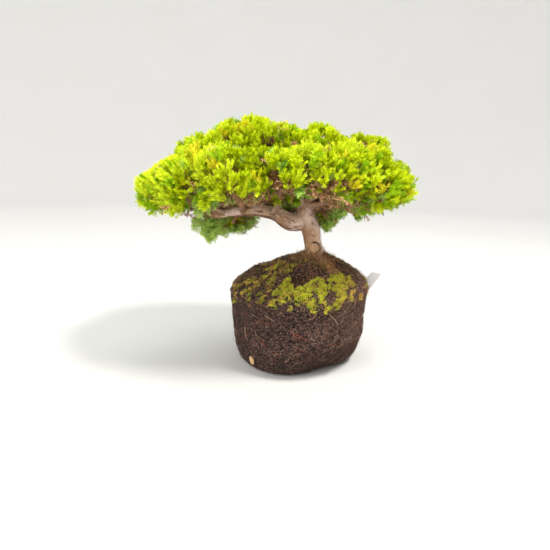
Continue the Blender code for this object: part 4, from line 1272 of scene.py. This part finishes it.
green_finishes = plain_finishes(NEEDLE_TINTS, 0.55, Specular_IOR_Level=0.15)


def blades(roots, tips, widths, rng):
    """Corners and faces of many needles: kites folded a little along the middle."""
    along = unit(tips - roots)
    across = unit(np.cross(along, rng.normal(0, 1, along.shape)))
    fold = np.cross(along, across) * (0.35 * widths)[:, None]
    shoulder = roots + (tips - roots) * 0.38
    sides = across * widths[:, None]
    corners = np.stack([roots, shoulder + sides + fold, tips, shoulder - sides + fold], 1)
    one = np.array([(0, 1, 2), (0, 2, 3)])
    faces = one[None] + (4 * np.arange(len(roots)))[:, None, None]
    return corners.reshape(-1, 3), faces.reshape(-1, 3)


def perpendicular(ways, rng):
    """A unit vector square to each way, turned at random about it."""
    return unit(np.cross(ways, rng.normal(0, 1, ways.shape)))


def needle_arrays(shoots, whorls, bare_foot, rng):
    """Needles in whorls of three up each shoot, with their widths, tones and kind."""
    share = ((np.arange(whorls) + 0.4) / whorls) ** 0.9
    up_share = bare_foot + (1 - bare_foot) * share
    side = perpendicular(shoots["way"], rng)
    phase = rng.uniform(0, FULL_TURN, len(side))
    turn = phase[:, None, None] + np.arange(whorls)[None, :, None] * (math.pi / 3 + 0.12)
    turn = turn + np.arange(3) * FULL_TURN / 3
    turn = turn + rng.normal(0, 0.22, turn.shape)
    way = unit(shoots["way"][:, None] + shoots["bend"][:, None] * (2 * up_share)[None, :, None])
    side = unit(side[:, None] - way * (side[:, None] * way).sum(-1, keepdims=True))
    over = np.cross(way, side)
    long = shoots["length"][:, None]
    axis = shoots["root"][:, None] + shoots["way"][:, None] * (long * up_share)[..., None]
    axis = axis + shoots["bend"][:, None] * (long * up_share**2)[..., None]
    ray = side[:, :, None] * np.cos(turn)[..., None] + over[:, :, None] * np.sin(turn)[..., None]
    kind = np.broadcast_to(shoots["kind"][:, None, None], turn.shape)
    cold = kind == COLD
    spread = np.radians(np.where(cold, 46, 31)) * (1.12 - 0.30 * share**2)[None, :, None]
    spread = spread + rng.normal(0, 0.12, turn.shape)
    grow = way[:, :, None] * np.cos(spread)[..., None] + ray * np.sin(spread)[..., None]
    size = np.where(cold, 0.0048, 0.0039) * (1.05 - 0.25 * share**2)[None, :, None]
    size = size * rng.uniform(0.8, 1.2, turn.shape)
    root = axis[:, :, None] + ray * 0.0003
    tip = root + grow * size[..., None]
    # painted highlight and shade: each shoot's needles darker at its foot and paler at its tip
    tone = shoots["tone"][:, None, None] + (2.0 * share - 1.1)[None, :, None]
    tone = tone + rng.normal(0, 0.35, turn.shape)
    width = NEEDLE_WIDTH * np.where(cold, 0.9, 1.0)
    return root.reshape(-1, 3), tip.reshape(-1, 3), width.ravel(), tone.ravel(), kind.ravel()


def seam_push(points, pad_index):
    """How far to move the shoots that lie where two pads meet, to close the crown."""
    apart = pad_distances(points)
    own = apart[:, pad_index].copy()
    apart[:, pad_index] = np.inf
    near = np.clip(1 - (apart.min(axis=1) - own) / 0.28, 0, 1) * np.clip((own - 0.6) / 0.2, 0, 1)
    return unit((points - CROWN_MIDDLE) / CROWN_REACH**2) * (SEAM_FILL * near)[:, None]


def lightness(points):
    """1 on the top and rim of the crown, 0 under it: how much painted light the needles there get.
    """
    rim = np.linalg.norm(((points - CROWN_MIDDLE) / CROWN_REACH)[:, :2], axis=1)
    high = np.clip((points[:, 2] - 0.200) / 0.05, 0, 1)
    return np.maximum(high, np.clip((rim - 0.68) / 0.22, 0, 1) * 0.9)


def choose(shoots, which):
    return {key: value[which] for key, value in shoots.items()}


def side_shoots(leaders, k, rng):
    """The k-th side shoot of every spray: it leaves the leader and ends beside its tip."""
    way, long = leaders["way"], leaders["length"]
    turn = leaders["turn"] + 2.4 * k
    over = np.cross(way, leaders["side"])
    ray = leaders["side"] * np.cos(turn)[:, None] + over * np.sin(turn)[:, None]
    at = 0.30 + 0.13 * k + rng.uniform(-0.04, 0.04, len(long))
    lean = np.radians(rng.normal(29, 6, len(long)))[:, None]
    made = dict(leaders)
    made["root"] = leaders["root"] + way * (long * at)[:, None]
    made["way"] = unit(way * np.cos(lean) + ray * np.sin(lean))
    made["length"] = long * (1 - at) * rng.uniform(0.72, 1.0, len(long)) + 0.002
    made["bend"] = way * 0.10 + rng.normal(0, 0.04, way.shape)
    made["tone"] = leaders["tone"] - 0.25 + rng.normal(0, 0.28, len(long))
    return made


# How much paler the needles of the pads in shade under the crown are painted: painted light that
# makes up for their shade
SHADED_TONE = {"hanging_left": 2.0, "trunk_sprig": 2.0, "right_low": 2.0, "inner_left": 2.2}
YELLOWED = {"trunk_sprig": 0.3, "right_low": 0.4, "hanging_left": 0.08}
# Sprays that close the hollows between the shoots of a pad, by place
FILLED = {
    "left_front": (-0.124, -0.090, 0.207),
    "top_centre": (-0.022, -0.042, 0.257),
    "left_tip": (-0.150, -0.040, 0.206),
    "front_centre": (-0.024, -0.048, 0.206),
    "left_shoulder": (-0.098, -0.046, 0.232),
}
FILL_SPRAYS = 13
LIMB_SPRAYS = 50
FORK_SPRAYS = 30
stem_lines, stem_widths, fine_lines, dead_sprays = [], [], [], []
for pad_index, pad in enumerate(pad_names):
    rng = np.random.default_rng(SEED * 100 + pad_index)
    shaded = pad in SHADED_PADS
    centre, reach = pad_centres[pad_index], pad_reaches[pad_index]
    size = max(SHOOT_SMALLEST, min(1.0, min(reach) / FULL_REACH))
    lowest = HANGING_TWIG if shaded else LOWEST_TWIG

    source_rng = random.Random(f"{SEED}-{pad}")
    main_ways = np.array(list(twig_directions(round(TWIG_COUNT * size * size), lowest, source_rng)))
    forks = centre + main_ways * reach * TWIG_FORK
    tip = bough_lines[pad][-1]
    inside = bough_lines[pad][-3:-2, :3]
    stem_lines.append(np.concatenate([inside, np.linspace(tip[:3], centre, 6)]))
    stem_widths.append(tip[3] * np.array([0.7, 0.95, 0.9, 0.85, 0.8, 0.75, 0.7]))
    for fork in forks:
        sag = np.array([0, 0, -0.0015]) * np.sin(np.linspace(0, math.pi, 7))[:, None]
        stem_lines.append(np.linspace(centre, fork, 7) + sag)
        stem_widths.append(np.linspace(0.0017, 0.0010, 7))

    count = round(SPRAYS * (0.6 * size + 0.4 * size**2 if shaded else 1.0))
    spray_ways = np.array(list(twig_directions(count, -0.97, random.Random(pad_index))))
    spray_ways = unit(spray_ways + rng.normal(0, 0.10, spray_ways.shape))
    out = spray_ways * reach
    under = np.clip(-spray_ways[:, 2:], 0, 1)
    crown_out = unit((centre + out - CROWN_MIDDLE) / CROWN_REACH**2)
    upward = -0.25 if shaded else UPTURN
    nearest_fork = np.argmax(spray_ways @ main_ways.T, axis=1)
    fanned = unit(out - 0.8 * main_ways[nearest_fork] * reach)
    heading = 0.35 * unit(out) + 0.45 * crown_out + 0.45 * fanned
    heading = heading + np.array([0, 0, upward]) * (1 - 0.65 * under)
    heading = unit(heading + rng.normal(0, 0.24, out.shape))
    clump = noise_at(centre + out, CLUMPS_PER_METRE, 20.0)
    deep = depth_in(DEEP_PLACES, centre + out)
    share = 0.92 + 0.34 * clump + rng.uniform(-0.05, 0.05, count) - 0.30 * deep
    long = SPRAY_LENGTH * size * rng.uniform(0.82, 1.22, count)
    if shaded:
        share = rng.uniform(0.60, 1.08, count)
        long = long * 1.35
        heading = unit(heading + unit(out) * [0.6, 0.6, 0.0] + [-0.2, 0, -0.1])
    end = centre + out * np.clip(share, 0.60 if shaded else 0.80, 1.05)[:, None]
    proud = (rng.random(count) < 0.10) & ~deep.astype(bool)
    end = end + heading * (0.004 * proud)[:, None]
    keep = in_own_space(end, pad_index, SHOOT_MARGIN)
    if not shaded:
        end = end + seam_push(end, pad_index)
        end[:, 2] -= under_outline(end)
        end[:, 1] = np.minimum(end[:, 1], BACK_REACH)
    bare = depth_in(BARE_PLACES, end) * (not shaded)
    low = hangs_in_view(end, GREEN_EDGE)
    light = lightness(end)
    keep &= (rng.random(count) > bare * 1.3) & (~low | (rng.random(count) < 0.45))
    keep &= rng.random(count) > 0.28 * under[:, 0]
    outer = np.linalg.norm((end - centre) / reach, axis=1)
    # Painted light and shade in each spray's tone: paler on the crown's top and rim and most at a
    # pad's outside, paler where clumps stand out and darker where they sink, darker in the deep
    # places
    tone = 1.9 + 2.7 * light * (0.45 + 0.55 * outer) + rng.normal(0, 0.42, count) + 1.2 * clump
    tone += SHADED_TONE.get(pad, 0) - 3.6 * deep - 0.4 * bare
    # painted shade: lit sprays on the right painted darker
    tone -= 0.5 * np.clip(end[:, 0] / 0.05, 0, 1) * light
    # the bluer greens go to sprays that get little light and to the shaded pads, partly as painted
    # shade
    cold = (light < 0.12 + 0.36 * rng.random(count)) | low
    cold |= shaded & (rng.random(count) > YELLOWED.get(pad, 0))
    grassy = 0.09 + 0.38 * np.clip((0.232 - end[:, 2]) / 0.03, 0, 1)
    draw = rng.random(count)
    kind = np.where(draw < grassy, GRASSY, np.where(draw > 0.955, GOLDEN, WARM))
    # painted light: the left and the front of the crown painted paler
    tone += 1.4 * np.clip((-0.05 - end[:, 0]) / 0.06, 0, 1)
    tone += np.clip((-0.03 - end[:, 1]) / 0.05, 0, 1)
    leaders = {
        "root": end - heading * long[:, None],
        "way": heading,
        "length": long,
        "bend": rng.normal(0, 0.07, heading.shape) + [0, 0, 0.03],
        "tone": tone,
        "kind": np.where(cold, COLD, kind),
        "side": perpendicular(heading, rng),
        "turn": rng.uniform(0, FULL_TURN, count),
        "fork": forks[nearest_fork],
        "dying": rng.random(count) < 0.012 + 0.20 * bare,
        "closing": np.zeros(count, bool),
    }
    leaders = choose(leaders, keep)

    # Sprays inside the pad and on the bough under it, painted darker and bluer as painted shade;
    # the sprays that close hollows are painted as bright as lit ones
    at = rng.integers(8, BOUGH_POINTS, SPRAYS_ON_BOUGH)
    inner = main_ways[rng.integers(0, len(main_ways), round(INNER_SPRAYS * size**2))]
    inner = unit(inner + rng.normal(0, 0.45, inner.shape)) * reach
    foot = np.concatenate([bough_lines[pad][at, :3], centre + inner * 0.25])
    way = unit(rng.normal(0, 1, foot.shape) * [1, 1, 0.6] + [0, 0, 0.35])
    way[len(at) :] = unit(unit(inner) + rng.normal(0, 0.35, inner.shape))
    if pad == "inner_left":
        limb = left_line[rng.integers(13, 66, LIMB_SPRAYS)]
        fork = trunk_line[rng.integers(44, 66, FORK_SPRAYS)]
        behind = limb[:, :3] + limb[:, 3:] * [0, 0.8, 0.6]
        foot = np.concatenate([foot, behind, fork[:, :3] + [-0.003, 0.009, 0]])
        for sprays, lean in [(LIMB_SPRAYS, [0, 0.50, 0.75]), (FORK_SPRAYS, [-0.6, 0.35, 0.6])]:
            way = np.concatenate([way, unit(rng.normal(0, 0.35, (sprays, 3)) + lean)])
    closing = np.zeros(len(foot), bool)
    if pad in FILLED:
        spot = np.array(FILLED[pad]) + rng.normal(0, 0.007, (FILL_SPRAYS, 3))
        outwards = unit((spot - CROWN_MIDDLE) / CROWN_REACH**2)
        foot = np.concatenate([foot, spot - outwards * 0.008])
        way = np.concatenate([way, unit(outwards + [0, 0, 0.6] + rng.normal(0, 0.3, spot.shape))])
        closing = np.concatenate([closing, np.ones(FILL_SPRAYS, bool)])
    lit = lightness(foot)
    low_sprays = {
        "root": foot + way * rng.uniform(0.002, 0.009, (len(foot), 1)) * size,
        "way": way,
        "length": rng.uniform(0.012, 0.018, len(foot)) * (1 + size) / 2,
        "bend": np.zeros(foot.shape),
        "tone": rng.normal(3.2 if shaded else 2.3, 0.4, len(foot)) + 1.5 * np.maximum(lit, closing),
        "kind": np.where(
            rng.random(len(foot)) > 0.15 + lit + closing,
            COLD,
            rng.choice([WARM, WARM, GRASSY], len(foot)),
        ),
        "side": perpendicular(way, rng),
        "turn": rng.uniform(0, FULL_TURN, len(foot)),
        "fork": foot,
        "dying": rng.random(len(foot)) < 0.12,
        "closing": closing,
    }
    leaders = {key: np.concatenate([leaders[key], low_sprays[key]]) for key in leaders}
    if pad == "hanging_left":
        end = leaders["root"] + leaders["way"] * leaders["length"][:, None]
        leaders = choose(leaders, end[:, 2] > np.interp(end[:, 0], HANG_ACROSS, HANG_FLOOR))

    def in_the_clear(shoots):
        """Shoots that touch no limb and hide no bough."""
        end = shoots["root"] + shoots["way"] * shoots["length"][:, None]
        middle = (shoots["root"] + end) / 2
        clear = clear_of_limbs(middle, 0.0015) & clear_of_limbs(shoots["root"], 0.0003)
        for points in (middle, end, shoots["root"]):
            clear &= ~hangs_in_view(points, DEAD_EDGE) | shoots["closing"]
        return clear

    leaders = choose(leaders, in_the_clear(leaders))
    dead_sprays.append(choose(leaders, leaders["dying"]))
    leaders = choose(leaders, ~leaders["dying"])
    curve = np.array([0.0, 0.5, 1.0])[None, :, None]
    arm = leaders["fork"][:, None] * (1 - curve) + leaders["root"][:, None] * curve
    arm = arm - np.array([0, 0, 0.002]) * np.sin(math.pi * curve)
    upper = leaders["root"] + leaders["way"] * (0.75 * leaders["length"])[:, None]
    fine_lines.append(np.concatenate([arm, upper[:, None]], axis=1))
    grown = [needle_arrays(leaders, LEADER_WHORLS, BARE_FOOT, rng)]
    for k in range(SIDE_SHOOTS):
        shoots = side_shoots(leaders, k, rng)
        grown.append(needle_arrays(choose(shoots, in_the_clear(shoots)), SIDE_WHORLS, 0.0, rng))
    roots, tips, widths, tones, kinds = (np.concatenate(parts) for parts in zip(*grown))
    corners, faces = blades(roots, tips, widths, rng)
    shades = np.clip(np.round(tones), 0, 6)
    shades = np.where(kinds == COLD, 7 + np.clip(np.round(tones - 0.6), 0, 3), shades)
    shades = np.where(kinds == GOLDEN, 11 + (tones > 3), shades)
    shades = np.where((kinds == GRASSY) & (tones > 1), 13 + (tones > 3), shades)
    new_piece(
        "needles_" + pad,
        corners,
        faces,
        green_finishes,
        np.repeat(shades, 2),
        smooth=False,
        replaced=["foliage_" + pad],
    )

# The twigs inside the pads: brown, thin, round, forked in the order above.
TWIG_TINTS = (176, 128, 90), (146, 98, 64), (108, 70, 46), (80, 52, 36)
twig_bark = bark_finish("twig_bark", *TWIG_TINTS)


def twig_piece(name, lines, widths, sides):
    corners, faces, _ = tubes(lines, widths, sides)
    mark(new_piece(name, corners, faces, [twig_bark]), "bark_crack", np.zeros(len(corners)))


twig_piece("main_twigs", np.array(stem_lines), np.array(stem_widths), 6)
fine_lines = np.concatenate(fine_lines)
fine_widths = np.tile([0.0009, 0.0007, 0.0006, 0.0003], (len(fine_lines), 1))
twig_piece("fine_twigs", fine_lines, fine_widths, 3)

# The dead growth under the crown: bare brown twigs and shoots whose needles
# have turned red-brown but still hang on.
DEAD_TINTS = {
    "dark_dead_needle": (132, 88, 62),
    "dead_needle": (188, 140, 100),
    "pale_dead_needle": (224, 188, 142),
}
DEAD_ON_PAD = 12
DEAD_ON_BOUGH = 27
TWIGLETS = 3
dead_finishes = plain_finishes(DEAD_TINTS, 0.55, Specular_IOR_Level=0.15)
dead_rng = np.random.default_rng(5)
curve = np.linspace(0, 1, 5)[None, :, None]
dead_lines = []


def dead_side_twigs(line, shortest, longest):
    """Twiglets that leave each dead twig part of the way along."""
    for _ in range(TWIGLETS):
        foot = line[np.arange(len(line)), dead_rng.integers(1, 4, len(line))]
        way = unit(unit(line[:, -1] - line[:, 0]) + dead_rng.normal(0, 0.7, foot.shape))
        end = foot + way * dead_rng.uniform(shortest, longest, (len(foot), 1))
        dead_lines.append(foot[:, None] * (1 - curve) + end[:, None] * curve)


for pad_index, pad in enumerate(pad_names):
    bough = bough_lines[pad]
    at = dead_rng.integers(4, BOUGH_POINTS - 1, DEAD_ON_BOUGH)
    start = bough[at, :3]
    way = unit(dead_rng.normal(0, 1, start.shape) * [1, 1, 0.7])
    end = start + way * dead_rng.uniform(0.007, 0.018, (len(at), 1))
    if pad in ("trunk_sprig", "inner_left"):
        start, end = start[:4], end[:4]
    else:
        centre, reach = pad_centres[pad_index], pad_reaches[pad_index]
        ways = dead_rng.normal(0, 1, (DEAD_ON_PAD * 3, 3))
        ways[:, 2] = -np.abs(ways[:, 2]) * 0.55
        ways = unit(ways)
        low_end = centre + ways * reach * dead_rng.uniform(0.72, 0.97, (len(ways), 1))
        keep = in_own_space(low_end, pad_index, 0.0)
        start = np.concatenate([start, (centre + ways * reach * 0.25)[keep][:DEAD_ON_PAD]])
        end = np.concatenate([end, low_end[keep][:DEAD_ON_PAD]])
    clear = clear_of_limbs(end, 0.001)
    start, end = start[clear], end[clear]
    bow = dead_rng.normal(0, 0.003, start.shape)
    line = start[:, None] * (1 - curve) + end[:, None] * curve
    line = line + bow[:, None] * np.sin(math.pi * curve)
    dead_lines.append(line)
    dead_side_twigs(line, 0.005, 0.012)
for middle, reach, count in BARE_PLACES:
    start = np.array(middle) + dead_rng.uniform(-0.7, 0.7, (count, 3)) * reach
    inward = unit(np.array([middle[0] * 0.3, 0.0, 0.205]) - start)
    start = start + inward * 0.020
    way = unit(-inward + dead_rng.normal(0, 0.6, start.shape))
    end = start + way * dead_rng.uniform(0.010, 0.022, (count, 1))
    line = start[:, None] * (1 - curve) + end[:, None] * curve
    line = line + dead_rng.normal(0, 0.003, start.shape)[:, None] * np.sin(math.pi * curve)
    dead_lines.append(line)
    dead_side_twigs(line, 0.005, 0.012)
dead_lines = np.concatenate(dead_lines)
hidden = hangs_in_view(dead_lines.reshape(-1, 3), DEAD_EDGE)
shown = ~hidden.reshape(len(dead_lines), -1).any(axis=1)
shown &= (np.abs(dead_lines[:, :, 1] + 0.007) < 0.115).all(axis=1)
outer_left = (dead_lines[:, :, 0].mean(axis=1) < -0.095) & (dead_lines[:, :, 2].mean(axis=1) > 0.19)
shown &= ~outer_left | (dead_rng.random(len(dead_lines)) < 0.35)
dead_lines = dead_lines[shown & (dead_lines[:, :, 2] > 0.150).all(axis=1)]
thick = dead_rng.uniform(0.0003, 0.0006, len(dead_lines))
twig_piece("dead_twigs", dead_lines, thick[:, None] * np.linspace(1, 0.5, 5), 3)

hung = dead_lines[dead_rng.random(len(dead_lines)) < 0.5]
hung_shoots = {
    "root": hung[:, 1],
    "way": unit(hung[:, 4] - hung[:, 1]),
    "length": np.linalg.norm(hung[:, 4] - hung[:, 1], axis=1) * 1.05,
    "bend": np.zeros((len(hung), 3)),
    "tone": np.zeros(len(hung)),
    "kind": np.zeros(len(hung), int),
}
dead_sprays = {
    key: np.concatenate([sprays[key] for sprays in dead_sprays]) for key in dead_sprays[0]
}
withered = [needle_arrays(hung_shoots, SIDE_WHORLS, 0.0, dead_rng)]
withered.append(needle_arrays(dead_sprays, LEADER_WHORLS, 0.1, dead_rng))
for k in range(SIDE_SHOOTS):
    shoots = side_shoots(dead_sprays, k, dead_rng)
    withered.append(needle_arrays(shoots, SIDE_WHORLS, 0.0, dead_rng))
roots, tips, widths, *_ = (np.concatenate(parts) for parts in zip(*withered))
some = dead_rng.random(len(roots)) < 0.46
tips = roots + (tips - roots) * 0.85
corners, faces = blades(roots[some], tips[some], widths[some] * 0.8, dead_rng)
shades = np.repeat(dead_rng.choice(3, some.sum(), p=[0.22, 0.42, 0.36]), 2)
new_piece("dead_needles", corners, faces, dead_finishes, shades, smooth=False)

# The plant label: a thin strip of smooth white plastic pushed into the flank,
# bare, and soiled where it comes out of the compost.
label_plastic = Finish("label_plastic", 0.38)
LABEL_ROOT = Vector((0.084, 0.016, 0.086))
LABEL_ALONG = Vector((0.60, 0.60, 0.53)).normalized()
spot = label_plastic.place()
smear = label_plastic.grain(spot, 140, 4, 0.6)
along = label_plastic.vector("DOT_PRODUCT", spot, LABEL_ALONG, output="Value")
soil = label_plastic.between(along - LABEL_ROOT.dot(LABEL_ALONG) + smear * 0.008, 0.014, 0.004)
clean = label_plastic.tint(smear, (0.40, 0.38, 0.40), (0.47, 0.45, 0.47))
label_plastic.feed("Base Color", label_plastic.tint(soil * 0.8, clean, colour(120, 98, 80)))
label_plastic.feed("Roughness", label_plastic.between(smear, 0.2, 1.4) + 0.22)
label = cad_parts["plant_label"]
label.data.materials.clear()
label.data.materials.append(label_plastic.material)
